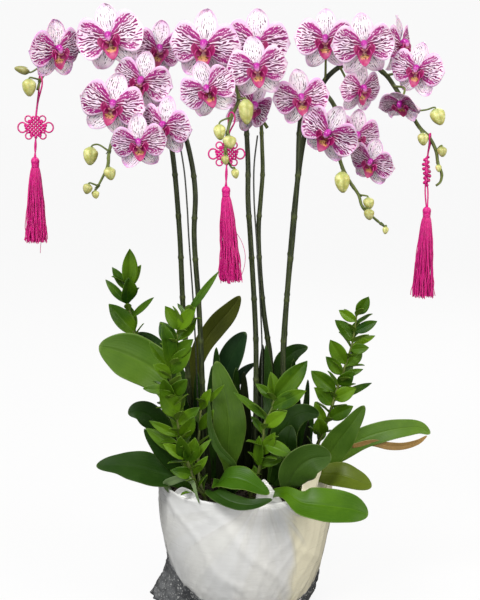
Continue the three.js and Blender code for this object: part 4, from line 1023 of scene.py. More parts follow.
def shell_round(radius, height, thickness):
    """A closed thin wall round the upright axis, from the radius and height of its outer face."""
    rows, sides = radius.shape
    turn = np.linspace(0, TURN, sides, endpoint=False)
    outer = np.stack([radius * np.cos(turn), radius * np.sin(turn), height], axis=-1)
    bare = radius - thickness
    inner = np.stack([bare * np.cos(turn), bare * np.sin(turn), height], axis=-1)
    points = mm(np.concatenate([outer, inner[::-1]]).reshape(-1, 3))
    quads = np.vstack([grid_quads(2 * rows, sides, closed=True), join_rows(2 * rows - 1, 0, sides)])
    around = np.tile(np.where(turn > math.pi, turn - TURN, turn), 2 * rows)
    place = np.column_stack([points[:, 2], around, np.zeros(len(points))])
    look = np.zeros_like(place)
    look[: rows * sides, 2] = 1
    return {"points": points, "quads": quads, "place": place, "look": look}


def crease(phase, sharpness):
    """Narrow ridges, one for each whole turn of the phase."""
    return np.abs(np.cos(phase / 2)) ** sharpness


def film_shape():
    turn = np.linspace(0, TURN, FILM_SIDES, endpoint=False)
    share = np.linspace(0, 1, FILM_ROWS)[:, None]
    front = np.maximum(0, -np.sin(turn)) ** 2
    waver = 2.5 * np.sin(3 * turn) + 1.5 * np.sin(7 * turn + 1) + np.sin(17 * turn)
    edge = FILM_EDGE - 12 * front + 5 * np.cos(turn) ** 2 + waver
    edge = edge + 5 * np.exp(-(((turn - FILM_LIFT) / 0.3) ** 2))
    height = FILM_FOOT + share * (edge - FILM_FOOT)
    around = np.stack([np.cos(turn) + 0 * share, np.sin(turn) + 0 * share, height / 133], axis=-1)
    slant = 1.2 * crease(9 * turn + height / 16 + 3 * wobble(around, 1.5), 14) * np.clip(height / 60, 0.2, 1)
    fine = 0.5 * crease(31 * turn - height / 9 + 5 * wobble(around, 2.5, 3.0), 6)
    crinkle = 2.6 * np.abs(wobble(around, 9.0, 5.0)) * np.clip((75 - height) / 60, 0.06, 1)
    fold = np.clip((height - 186) / 14, 0, 1) * (1.2 + 2.5 * wobble(around, 3.0, 8.0))
    wall = wall_radius(np.minimum(height, POT_HEIGHT)) + 0.5
    return shell_round(wall + FILM_THICKNESS + slant + fine + crinkle + fold, height, FILM_THICKNESS)


def film_flap(low, high, around):
    """A loose corner of the film, from its line inside the rim to its upper edge."""
    low = smooth_path(low, 15)
    high = smooth_path(high, 15)
    rows = np.linspace(0, 1, 12)[:, None, None]
    middle = mm(low + rows * (high - low) + np.array([0, 3, 0]) * np.sin(math.pi * rows))
    middle[..., 1] += 0.002 * wobble(middle, 120.0)
    place = np.zeros(middle.shape)
    place[..., 0] = middle[..., 2]
    place[..., 1] = around
    return sheet(middle, FILM_THICKNESS * MM, place, np.zeros((*middle.shape[:2], 2)))


film_parts = [film_shape()] + [film_flap(*flap) for flap in FLAPS]
film = piece("film_wrap", film_parts, [clear_film], ["stretch_film"], "clear_film")
print("film:", len(film.data.polygons), "faces")

# %% [markdown]
# A strip of thin dark film is crumpled round the foot of the pot, high at both sides and low in
# front. It is made as the clear film is, with sharper and larger folds that stand off the wall, and
# it trails outwards where it meets the floor. Noise folded over at zero gives the sharp ridges that
# stiff film has, and a soft noise would look like cloth.

# %% Dark film at the foot
FOOT_FILM_ROWS = 22
FOOT_FILM_THICKNESS = 1.4
FOOT_FILM_LOW = 15
FOOT_FILM_LEFT = 56
FOOT_FILM_RIGHT = 34
FOOT_FILM_BACK = 16
FOOT_FILM_TRAIL = 44


def foot_film_shape():
    turn = np.linspace(0, TURN, FILM_SIDES, endpoint=False)
    share = np.linspace(0, 1, FOOT_FILM_ROWS)[:, None]
    angle = np.where(turn > math.pi, turn - TURN, turn)
    left = np.exp(-(((math.pi - np.abs(angle)) / 0.75) ** 2))
    right = np.exp(-((angle / 0.4) ** 2))
    back = np.maximum(0, np.sin(angle)) ** 2
    uneven = 2 * np.sin(9 * angle) + 1.5 * np.sin(14 * angle + 2)
    rise = FOOT_FILM_LOW + FOOT_FILM_LEFT * left + FOOT_FILM_RIGHT * right + FOOT_FILM_BACK * back + uneven
    height = share * rise
    around = np.stack([np.cos(turn) + 0 * share, np.sin(turn) + 0 * share, height / 110], axis=-1)
    ragged = 1 - np.abs(wobble(around, 6.0, 1.0)) * 1.6
    sharp = 1 - np.abs(wobble(around, 13.0, 4.0)) * 2.0
    off = np.interp(share, [0, 0.4, 1], [14, 9, 2.6])
    trail = (FOOT_FILM_TRAIL * left + uneven) * (1 - share) ** 2.2
    crumple = (4.5 * ragged + 2.2 * sharp) * (0.25 + 0.75 * np.sqrt(1 - share)) - 2.0
    top = share ** 6 * 6 * wobble(around, 7.0, 9.0)
    radius = wall_radius(height) + off + trail + np.maximum(crumple, -0.5 * off)
    return shell_round(radius, np.maximum(height + top, 0.3 * share), FOOT_FILM_THICKNESS)


foot_film = piece("film_at_foot", [foot_film_shape()], [dark_film], ["foot_film"], "dark_film")
print("foot film:", len(foot_film.data.polygons), "faces")

# %% [markdown]
# Twenty-two blooms hang on six flower spikes. The lists below say where: for each bloom the middle
# of its face, its bearing in degrees towards the right, its tilt upwards, the lean of its top sepal,
# its span and how strongly its white is flushed with lilac, and for each spike the route of its
# stem, the stalks that leave it for the blooms, and its buds. Placing them one by one takes longer
# than scattering them, but a spray of orchids has an order that chance does not give.

# %% Where the blooms and spikes stand, in millimetres
BLOOMS = {
    "A1": ((-272, -20, 837), 40, -10, -5, 88, 0.7),
    "A2": ((-194, -20, 854), -5, -5, -12, 100, 0.15),
    "A3": ((-130, 26, 838), 25, -10, 10, 85, 0.5),
    "C1": ((-58, -20, 843), -10, -8, 5, 105, 0.35),
    "D1": ((17, 22, 847), 0, -5, 3, 98, 0.4),
    "D2": ((16, -50, 812), 0, -8, -8, 88, 0.2),
    "D3": ((7, 10, 757), 35, -15, 30, 85, 0.5),
    "F1": ((117, 18, 851), -5, -5, 0, 90, 0.3),
    "F2": ((169, -25, 843), 0, -8, -4, 92, 0.25),
    "F3": ((225, 20, 844), 60, 0, 0, 85, 0.4),
    "F4": ((168, 8, 781), 35, -10, 0, 75, 0.5),
    "F5": ((247, -25, 809), -25, -5, 10, 80, 0.45),
    "F6": ((223, -40, 765), -25, -50, 0, 75, 0.3),
    "B1": ((-148, -35, 794), -15, -15, 18, 88, 0.35),
    "B2": ((-189, -64, 761), 5, -8, 15, 94, 0.35),
    "B3": ((-115, -50, 731), -25, -10, 10, 84, 0.6),
    "B4": ((-150, -92, 710), 5, -12, -5, 80, 0.4),
    "C2": ((-53, -70, 783), -5, -10, -20, 84, 0.4),
    "E1": ((80, -20, 769), 5, -10, -8, 82, 0.5),
    "E2": ((119, -64, 721), -30, -15, 30, 90, 0.5),
    "E3": ((161, 6, 713), 20, -10, 10, 80, 0.6),
    "E4": ((182, -48, 679), -30, -15, 15, 72, 0.6),
}
SPIKES = {
    "A": {
        "route": [
            (-80, 22, 250), (-85, 22, 307), (-94, 18, 446), (-99, 18, 574), (-109, 26, 689),
            (-122, 45, 751), (-142, 54, 798), (-171, 46, 822), (-198, 26, 832), (-224, 20, 836),
            (-250, 20, 834), (-272, 12, 824), (-288, -2, 808), (-297, -9, 794), (-302, -12, 780),
        ],
        "stalks": [("A3", 6, []), ("A2", 8, []), ("A1", 11, [])],
        "buds": [
            (11, (-292, -3, 817), (-324, -6, 809), 22, 12, (-0.9, 0, 0.3)),
            (13, (-304, -20, 797), (-312, -24, 784), 25, 20, (-0.1, 0, -1)),
        ],
        "loop": 13,
    },
    "B": {
        "route": [
            (-62, -10, 250), (-64, -10, 316), (-69, -8, 451), (-76, -6, 567), (-74, -4, 629),
            (-80, 0, 678), (-93, 2, 724), (-113, 0, 752), (-139, -2, 762), (-159, -8, 755),
            (-176, -20, 736), (-189, -34, 716), (-196, -44, 694), (-199, -48, 672),
            (-212, -52, 645),
        ],
        "stalks": [("B1", 8, []), ("B3", 7, []), ("B2", 10, []), ("B4", 11, [])],
        "buds": [
            (12, (-212, -46, 704), (-223, -50, 688), 26, 21, (-0.2, 0, -1)),
            (12, (-195, -58, 680), (-194, -64, 664), 19, 17, (0.1, 0, -1)),
            (14, (-219, -53, 648), (-228, -52, 641), 15, 14, (-0.4, 0, -1)),
            (14, (-215, -50, 640), (-217, -46, 632), 12, 11, (0, 0, -1)),
        ],
    },
    "C": {
        "route": [
            (16, -1, 250), (16, 0, 313), (16, 4, 406), (8, 12, 554), (4, 16, 617), (4, 26, 668),
            (2, 40, 715), (0, 48, 756), (-8, 50, 782), (-20, 36, 798), (-20, 4, 796),
            (-14, -26, 784), (-10, -48, 768), (-20, -68, 744), (-26, -80, 722), (-28, -86, 700),
            (-24, -86, 681),
        ],
        "stalks": [("C1", 9, []), ("C2", 11, [])],
        "buds": [
            (13, (-33, -76, 740), (-37, -82, 724), 22, 17, (0, 0, -1)),
            (14, (-24, -92, 722), (-23, -98, 711), 18, 19, (0, -0.3, -1)),
            (15, (-30, -92, 695), (-29, -96, 686), 13, 11, (0, 0, -1)),
            (16, (-19, -86, 674), (-15, -86, 666), 14, 11, (0.1, 0, -1)),
            (12, (-6, -70, 770), (0, -76, 752), 35, 21, (0, 0, -1)),
        ],
        "loop": 13,
    },
    "D": {
        "route": [
            (40, 17, 250), (40, 16, 309), (36, 15, 388), (28, 16, 447), (22, 20, 511),
            (20, 27, 574), (23, 32, 615), (26, 36, 657), (25, 42, 698), (24, 50, 734),
            (26, 58, 772), (26, 58, 806), (24, 54, 832),
        ],
        "stalks": [("D3", 9, []), ("D2", 11, []), ("D1", 12, [])],
        "buds": [],
    },
    "E": {
        "route": [
            (60, -9, 250), (59, -8, 315), (57, -5, 392), (64, 0, 492), (70, 4, 555), (75, 8, 618),
            (78, 10, 659), (80, 18, 721), (87, 26, 761), (100, 26, 779), (116, 14, 774),
            (129, -2, 758), (134, -18, 738), (134, -28, 716), (134, -36, 692), (140, -42, 670),
            (152, -46, 648), (163, -48, 632), (169, -50, 614), (184, -52, 600), (196, -53, 590),
        ],
        "stalks": [("E1", 9, []), ("E2", 12, []), ("E3", 11, []), ("E4", 13, [(166, -22, 700)])],
        "buds": [
            (15, (141, -50, 662), (138, -58, 651), 30, 22, (0, 0, -1)),
            (17, (174, -44, 630), (178, -44, 619), 17, 16, (0.1, 0, -1)),
            (18, (176, -58, 613), (177, -62, 605), 16, 15, (0, 0, -1)),
            (20, (200, -54, 587), (202, -54, 581), 11, 9, (-0.2, 0, -1)),
        ],
    },
    "F": {
        "route": [
            (60, 44, 250), (60, 44, 381), (69, 44, 537), (79, 44, 644), (91, 50, 719),
            (106, 56, 763), (120, 58, 793), (141, 56, 812), (167, 50, 822), (190, 42, 814),
            (208, 30, 800), (218, 14, 785), (228, 0, 768), (239, -12, 749), (252, -22, 727),
            (267, -28, 711), (276, -30, 693), (279, -30, 676), (285, -30, 660), (283, -30, 648),
            (277, -30, 643),
        ],
        "stalks": [
            ("F1", 6, []), ("F4", 7, []), ("F2", 8, []), ("F3", 9, []), ("F5", 10, []),
            ("F6", 11, []),
        ],
        "buds": [
            (13, (262, -18, 752), (278, -22, 742), 25, 22, (0.3, 0, -1)),
            (14, (254, -32, 720), (255, -38, 711), 18, 16, (0, 0, -1)),
            (16, (280, -36, 700), (283, -38, 693), 15, 14, (0, 0, -1)),
            (17, (279, -34, 674), (279, -36, 669), 11, 9, (0, 0, -1)),
        ],
        "loop": 15,
    },
}
print(len(BLOOMS), "blooms on", len(SPIKES), "spikes")

# %% [markdown]
# A flower spike is a dark waxy stem, thick at the foot and thin at the tip, swollen at its joints.
# Stalks leave it for the blooms and buds, and a small pointed scale clasps the stem below each stalk.
# Tubes along smooth paths draw all of that, with a radius for each point, so the joints are simply
# places where the radius grows for a few millimetres. A skin modifier would join the branches more
# softly, but it gives no control over where a joint sits.

# %% Paths of the flower stems
STEM_RADIUS = 4.0
TIP_RADIUS = 1.7
STALK_RADIUS = 1.5
FOOT_LEVELS = (150, 192)
JOINT_STEP = 62.0
JOINT_WIDTH = 2.2
NECK_BEHIND = 0.13
STEM_POINTS = 260
STEM_SIDES = 14
STALK_POINTS = 22


def bloom_frame(bloom):
    """The three directions of a bloom (its right, its top, its front) as columns, and its middle."""
    at, *angles = BLOOMS[bloom][:4]
    bearing, tilt, lean = (math.radians(angle) for angle in angles)
    flat = math.cos(tilt)
    front = np.array([math.sin(bearing) * flat, -math.cos(bearing) * flat, math.sin(tilt)])
    across = np.array([math.cos(bearing), math.sin(bearing), 0.0])
    upward = np.cross(front, across)
    top = upward * math.cos(lean) + across * math.sin(lean)
    right = across * math.cos(lean) - upward * math.sin(lean)
    return np.column_stack([right, top, front]), np.array(at, float)


def path_length(path):
    return np.concatenate([[0.0], np.cumsum(np.linalg.norm(np.diff(path, axis=0), axis=1))])


def footing(x, y):
    """Two points in the bark, straight below the place where something comes out of it."""
    return [(x, y, level) for level in FOOT_LEVELS]


def stem_radius(share):
    return STEM_RADIUS + (TIP_RADIUS - STEM_RADIUS) * share ** 2


def stem_shape(route, number):
    """The stem from its foot in the bark to its tip. It is fresher at the tip and at its joints."""
    points = footing(*route[0][:2]) + route
    path = smooth_path(points, STEM_POINTS)
    travelled = path_length(path)
    places = np.interp(travelled, path_length(np.array(points, float)), np.arange(len(points)) - 2)
    share = np.clip(places / (len(route) - 1), 0, 1)
    joint = np.exp(-((((travelled - 40) % JOINT_STEP) - JOINT_STEP / 2) / JOINT_WIDTH) ** 2)
    shape = tube(path * MM, stem_radius(share) * (1 + 0.22 * joint) * MM, STEM_SIDES, number)
    fresh = np.clip((share - 0.35) / 0.6, 0, 1) ** 1.5 + 0.25 * joint
    shape["look"][:, 0] = np.repeat(np.clip(fresh, 0, 1), STEM_SIDES)
    return shape


print("stem radii from", STEM_RADIUS, "to", TIP_RADIUS, "millimetres")

# %% Stems with their stalks and scales
BRACT_LENGTH = 7.0
BUD_STALK_RADIUS = 1.2
CUT_STALK = {"D": [(24, 50, 734), (29, 48, 728), (33, 46, 722)]}
CUT_STALK_RADIUS = 2.4


def stalk_shape(points, number, radius=STALK_RADIUS, freshness=0.85):
    path = smooth_path(points, STALK_POINTS)
    along = np.linspace(0, 1, STALK_POINTS)
    widths = radius * (1.25 - 0.3 * along + 0.25 * np.exp(-(along / 0.08) ** 2) + 0.2 * along ** 6)
    shape = tube(path * MM, widths * MM, 10, number)
    shape["look"][:, 0] = freshness
    return shape


def stalk_to_bloom(start, bloom, via, number):
    turn, middle = bloom_frame(bloom)
    front = turn[:, 2]
    neck = middle - front * BLOOMS[bloom][4] * NECK_BEHIND
    reach = neck - front * min(12, np.linalg.norm(neck - start) / 3)
    return stalk_shape([start, *[np.array(p, float) for p in via], reach, neck + front * 3], number)


def bract_shape(base, along, outward, length, number):
    """A small pointed scale that clasps the stem below a stalk."""
    t = np.linspace(0, 1, 7)[:, None]
    v = np.linspace(-1, 1, 7)[None, :]
    half = length * 0.36 * np.sqrt(np.clip(1 - t ** 2, 0.002, 1))
    lift = outward * (1.0 + 2.2 * t[..., None] - 0.9 * v[..., None] ** 2)
    beside = np.cross(along, outward) * (half * v)[..., None]
    middle = base + along * (t[..., None] * length) + beside + lift
    place = np.zeros(middle.shape)
    place[..., 2] = number
    look = np.zeros((*middle.shape[:2], 2))
    look[..., 0] = 0.6
    return sheet(middle[:, ::-1] * MM, 0.5 * MM, place, look)


def bract_below(route, start, goal, number):
    """The scale at one place of a stem, on the side where a stalk leaves towards its goal."""
    near = int(np.argmin(np.linalg.norm(route - start, axis=1)))
    along = unit(route[min(near + 1, len(route) - 1)] - route[near - 1])
    outward = unit(goal - start - along * np.dot(goal - start, along))
    base = start - along * 2 + outward * (stem_radius(near / (len(route) - 1)) - 1.6)
    return bract_shape(base, along, outward, BRACT_LENGTH, number)


for index, (name, spike) in enumerate(SPIKES.items()):
    route = np.array(spike["route"], float)
    shapes = [stem_shape(spike["route"], index)]
    starts = [(route[at], np.array(BLOOMS[bloom][0], float)) for bloom, at, via in spike["stalks"]]
    shapes += [stalk_to_bloom(route[at], bloom, via, index) for bloom, at, via in spike["stalks"]]
    for at, via, middle, length, width, hang in spike["buds"]:
        along = unit(np.array(hang, float))
        base = np.array(middle) - along * length / 2
        path = [route[at], via, base - along * 1.5, base + along * length / 6]
        shapes.append(stalk_shape(path, index, BUD_STALK_RADIUS))
        starts.append((route[at], np.array(via, float)))
    shapes += [bract_below(route, start, goal, index) for start, goal in starts]
    if name in CUT_STALK:
        shapes.append(stalk_shape(CUT_STALK[name], index, CUT_STALK_RADIUS, 0.7))
    piece(f"stem_{name}", shapes, [stem], [f"spike_{name}"], "stem")
print("stems:", sum(len(pieces[f"stem_{name}"][0].data.polygons) for name in SPIKES), "faces")

# %% [markdown]
# A closed bud is three sepals folded over each other, so it has three seams, and it is fattest below
# its middle and pointed at the end. A lathe gives the egg, a small wave round it raises the three
# sepals, and the point leans a little to one side, as on real buds.

# %% Buds
BUD_OUTLINE = (0.16, 0.34, 0.46, 0.5, 0.5, 0.48, 0.45, 0.4, 0.33, 0.24, 0.1)
BUD_ROWS = 22
BUD_SIDES = 24
SLIM_BUD = 12


def bud_shape(middle, length, width, hang, number, olive):
    t = np.linspace(0, 1, BUD_ROWS)[:, None]
    turn = np.linspace(0, TURN, BUD_SIDES, endpoint=False)[None, :]
    flat = 0 * t + 0 * turn
    seam = np.exp(-((((turn * 3 / TURN) % 1.0) - 0.5) / 0.1) ** 2)
    radius = width * smooth_values(BUD_OUTLINE, t[:, 0])[:, None] * (1 - 0.07 * seam * np.sin(math.pi * t))
    radius = radius * (1 + 0.05 * np.cos(3 * turn))
    axis = unit(np.array(hang, float))
    side = unit(np.cross(axis, (0.3, 1.0, 0.1)))
    other = np.cross(axis, side)
    base = np.array(middle) - axis * length / 2
    centre = base + axis * (t * length)[..., None] + side * (0.08 * width * t ** 3)[..., None]
    spoke = np.cos(turn)[..., None] * side + np.sin(turn)[..., None] * other
    last = (BUD_ROWS - 1) * BUD_SIDES
    return {
        "points": (centre + radius[..., None] * spoke).reshape(-1, 3) * MM,
        "quads": grid_quads(BUD_ROWS, BUD_SIDES, closed=True),
        "caps": [list(range(BUD_SIDES))[::-1], list(range(last, last + BUD_SIDES))],
        "place": np.stack([t + flat, turn / TURN + flat, number + flat], axis=-1).reshape(-1, 3),
        "look": np.stack([seam + flat, olive + flat, flat], axis=-1).reshape(-1, 3),
    }


for name, spike in SPIKES.items():
    buds = []
    for number, (at, via, middle, length, width, hang) in enumerate(spike["buds"]):
        olive = 1.0 if width == SLIM_BUD else 0.25 * (number % 3)
        buds.append(bud_shape(middle, length, width, hang, number, olive))
    if buds:
        piece(f"buds_{name}", buds, [bud], [f"spike_{name}"], "stem")
print("buds:", sum(len(spike["buds"]) for spike in SPIKES.values()))

# %% [markdown]
# A bloom has three sepals behind and two broad petals in front, spread flat like wings. Each is a
# thin sheet: rows run from the heart to the tip, the outline gives the half width at each row, and
# small terms bend it back, cup it and ruffle its edge. No two blooms are quite alike, so a seeded
# random source changes the bend, the turn and the ruffle a little for each one.

# %% Sepals and petals
PETAL_OUTLINE = (0.03, 0.07, 0.15, 0.215, 0.262, 0.29, 0.303, 0.303, 0.288, 0.258, 0.21)
SEPAL_OUTLINE = (0.035, 0.05, 0.085, 0.13, 0.16, 0.173, 0.172, 0.165, 0.155, 0.14, 0.12)
TEPALS = [("sepal", 0.0), ("sepal", -2.55), ("sepal", 2.55), ("petal", -1.52), ("petal", 1.52)]
PETAL_REACH = 0.51
SEPAL_REACH = 0.5
CLOSED_REACH = 0.82
PETAL_LEVEL = 0.035
SEPAL_LEVEL = -0.012
ALONG_ROWS = 30
ACROSS_ROWS = 19
FAN_STEP = 0.18
SEPAL_ROWS = 5.0


def tepal_shape(kind, turn, span, closed, flush, number, chance):
    is_petal = kind == "petal"
    u = np.sin(np.linspace(0.02, math.pi / 2, ALONG_ROWS))[:, None]
    v = np.linspace(-1, 1, ACROSS_ROWS)[None, :]
    flat = 0 * u * v
    outline = PETAL_OUTLINE if is_petal else SEPAL_OUTLINE
    half = smooth_values(outline, u[:, 0])[:, None] * np.sqrt(np.clip(1 - u ** 6, 0.0006, 1))
    upper = -np.sign(turn) if is_petal else 0.0
    half = half * (1 + 0.1 * v * upper) * chance.uniform(0.97, 1.04)
    reach = (PETAL_REACH if is_petal else SEPAL_REACH) * (CLOSED_REACH if closed else 1.0)
    length = reach * chance.uniform(0.97, 1.02)
    turn = turn + chance.uniform(-0.05, 0.05)
    sweep = (-0.16 if closed else chance.uniform(0.03, 0.09)) + (0.0 if is_petal else 0.015)
    cup = chance.uniform(-0.02, 0.05) if is_petal else chance.uniform(0.0, 0.06)
    phase = chance.uniform(0, 6.28)
    ruffle = 0.011 * np.sin(7 * u + 2.2 * v + phase) * np.abs(v) ** 3 * u
    groove = -0.008 * np.exp(-((v / 0.1) ** 2)) * (1 - 0.7 * u)
    twist = chance.uniform(-0.04, 0.04) * v * u
    tip_curl = -0.03 * np.clip((u - 0.75) / 0.25, 0, 1) ** 2 * chance.uniform(-0.4, 1.0)
    base = PETAL_LEVEL if is_petal else SEPAL_LEVEL
    depth = base - sweep * u ** 2 + cup * v ** 2 * u + ruffle + groove + twist + tip_curl
    arch = (1 - 0.05 * v ** 2 * u) if is_petal else 1.0
    out = np.array([math.sin(turn), math.cos(turn), 0.0])
    side = np.array([math.cos(turn), -math.sin(turn), 0.0])
    middle = out * (u * arch * length + 0 * v)[..., None] + side * (half * v)[..., None]
    middle = middle + np.array([0.0, 0.0, 1.0]) * depth[..., None]
    fan = np.arctan2(half * v, length * u + 0.1) / FAN_STEP if is_petal else SEPAL_ROWS * v + flat
    margin = np.minimum(1 - np.abs(v) + flat, (1 - u) * 2.4 + flat)
    look = np.stack([margin, flat + (0.0 if is_petal else 1.0)], axis=-1)
    thick = (1.0 - 0.45 * v ** 2) * (1.0 - 0.4 * u)
    shape = sheet(middle * span * MM, thick * MM, np.stack([u + flat, fan, number + flat], axis=-1), look)
    aside = np.tile((v + flat).ravel(), 2)
    shape["tint"] = np.column_stack([0 * aside + flush, aside, 0 * aside])
    return shape


print("a petal reaches", PETAL_REACH, "and a sepal", SEPAL_REACH, "of the span")

# %% [markdown]
# In the heart of the bloom, the lip is a scoop that curls up at its sides. Two side lobes stand
# beside the column like ears, with two small horns between them, and a short neck behind joins the
# bloom to its stalk. These parts could be sculpted, but as tubes and sheets along short paths they
# stay light enough to be repeated in every bloom.

# %% Neck, lip, column and side lobes
NECK_LINE = [(0, 0, -NECK_BEHIND), (0, 0, -0.09), (0, 0, -0.03), (0, 0.004, 0.02)]
NECK_RADII = (1.7, 1.8, 2.0, 2.2, 2.4, 2.7, 3.0, 2.9, 2.0)
LIP_LINE = [(0, -0.01, 0.03), (0, -0.08, 0.055), (0, -0.16, 0.07), (0, -0.24, 0.1), (0, -0.3, 0.145)]
LIP_OUTLINE = (0.02, 0.07, 0.14, 0.175, 0.165, 0.135, 0.11, 0.095, 0.08, 0.06, 0.035)
LIP_CURL = (0.6, 1.2, 1.6, 1.6, 1.4, 1.1, 0.8, 0.6, 0.5, 0.4, 0.3)
LIP_ROWS = 22
LIP_COLUMNS = 21
COLUMN_LINE = [
    (0, 0.0, 0.0), (0, 0.04, 0.04), (0, 0.06, 0.085), (0, 0.045, 0.13), (0, 0.0, 0.145),
    (0, -0.035, 0.135),
]
COLUMN_RADII = (0.03, 0.034, 0.042, 0.05, 0.053, 0.047, 0.034, 0.008)
COLUMN_ROWS = 14
EAR_LINE = [(0.03, -0.1, 0.07), (0.085, -0.07, 0.11), (0.12, -0.01, 0.125), (0.12, 0.04, 0.11)]
EAR_OUTLINE = (0.03, 0.05, 0.058, 0.05, 0.015)
EAR_ROWS = 10
EAR_COLUMNS = 9
EAR_PLACE = 2.0
HORN_LINE = [(0.02, -0.05, 0.1), (0.025, -0.05, 0.14), (0.045, -0.03, 0.16)]
HORN_ROWS = 7


def neck_shape(span, number):
    path = smooth_path(NECK_LINE, len(NECK_RADII))
    shape = tube(path * span * MM, mm(NECK_RADII), 12, number)
    shape["place"][:, 0] = 0.9
    shape["place"][:, 1] = 0
    return shape


def lip_shape(span, number, chance):
    """A scoop: a narrow claw, raised sides round the throat, and a rounded tongue."""
    path = smooth_path(LIP_LINE, LIP_ROWS)
    t = np.linspace(0, 1, LIP_ROWS)
    half = smooth_values(LIP_OUTLINE, t) * np.sqrt(np.clip(1 - t ** 9, 0.003, 1)) * chance.uniform(0.94, 1.05)
    curl = smooth_values(LIP_CURL, t)
    side = np.array([1.0, 0.0, 0.0])
    up = unit(np.cross(unit(np.gradient(path, axis=0)), side))
    v = np.linspace(-1, 1, LIP_COLUMNS)
    bend = curl[:, None] * v[None, :]
    radius = (half / curl)[:, None]
    across = side * (radius * np.sin(bend))[..., None]
    rise = up[:, None, :] * (radius * (1 - np.cos(bend)))[..., None]
    middle = path[:, None, :] + across + rise
    flat = 0 * bend
    place = np.stack([t[:, None] + flat, v + flat, number + flat], axis=-1)
    shape = sheet(middle * span * MM, 0.9 * MM, place, np.zeros((LIP_ROWS, LIP_COLUMNS, 2)))
    shape["paint"] = 1
    return shape


def column_shape(span, number):
    path = smooth_path(COLUMN_LINE, COLUMN_ROWS)
    radii = smooth_values(COLUMN_RADII, np.linspace(0, 1, COLUMN_ROWS))
    shape = tube(path * span * MM, radii * span * MM, 16, number)
    shape["look"][:, 0] = shape["points"][:, 1] / (span * MM)
    shape["paint"] = 2
    return shape


def ear_shape(span, number, hand):
    """One of the two side lobes of the lip, spread beside the column like an ear."""
    path = smooth_path(np.array(EAR_LINE) * (hand, 1, 1), EAR_ROWS)
    half = smooth_values(EAR_OUTLINE, np.linspace(0, 1, EAR_ROWS))
    beside = unit(np.cross(np.gradient(path, axis=0), [0.0, 0.0, hand]))
    v = np.linspace(-1, 1, EAR_COLUMNS)
    middle = path[:, None, :] + beside[:, None, :] * (half[:, None] * v)[..., None]
    middle = middle + np.array([0.0, 0.0, 0.025]) * (v ** 2)[None, :, None]
    flat = np.zeros((EAR_ROWS, EAR_COLUMNS))
    place = np.stack([EAR_PLACE + flat, v + flat, number + flat], axis=-1)
    shape = sheet(middle * span * MM, 0.8 * MM, place, np.zeros((EAR_ROWS, EAR_COLUMNS, 2)))
    shape["paint"] = 1
    return shape


def horn_shape(span, number, hand):
    """One of the two small horns between the side lobes of the lip."""
    path = smooth_path(np.array(HORN_LINE) * (hand, 1, 1), HORN_ROWS)
    shape = tube(path * span * MM, np.linspace(0.022, 0.008, HORN_ROWS) * span * MM, 10, number)
    shape["place"][:, 0] = 0.3
    shape["place"][:, 1] = 0.0
    shape["paint"] = 1
    return shape


print("the lip has", LIP_ROWS, "rows of", LIP_COLUMNS, "points")

# %% Blooms
CLOSED_BLOOM = "F6"


def bloom_shapes(bloom, number):
    """The petals and the heart of one bloom, turned and moved to its place on the plant."""
    turn, middle = bloom_frame(bloom)
    span, flush = BLOOMS[bloom][4:]
    chance = np.random.default_rng(100 + number)
    closed = bloom == CLOSED_BLOOM
    spread = [
        tepal_shape(kind, angle, span, closed, flush, 5 * number + k, chance)
        for k, (kind, angle) in enumerate(TEPALS)
    ]
    heart = [lip_shape(span, number, chance), column_shape(span, number)]
    heart += [shape(span, number, hand) for shape in (horn_shape, ear_shape) for hand in (-1, 1)]
    groups = (spread + [neck_shape(span, number)], heart)
    return [[moved(shape, turn, middle * MM) for shape in group] for group in groups]


for number, bloom in enumerate(BLOOMS):
    spread, heart = bloom_shapes(bloom, number)
    piece(f"{bloom}_petals", spread, [petal], [f"bloom_{bloom}"], "petal")
    piece(f"{bloom}_heart", heart, [petal, lip, column], [f"bloom_{bloom}"], "petal")
print("faces in one bloom:", sum(len(pieces[f"A2_{part}"][0].data.polygons) for part in ("petals", "heart")))

# %% [markdown]
# Fifteen crowns of broad leaves stand in the bark, with one to three blades each. The list gives
# the foot of each crown and its finish, and for each blade the line of its midrib, its half width at
# even steps and the way its upper face looks. A real leaf is folded lightly along the midrib, thick
# there and thin at its edge, and its tip is rounded. A plane bent by modifiers could do it, but a
# grid computed from the midrib keeps the veins straight.

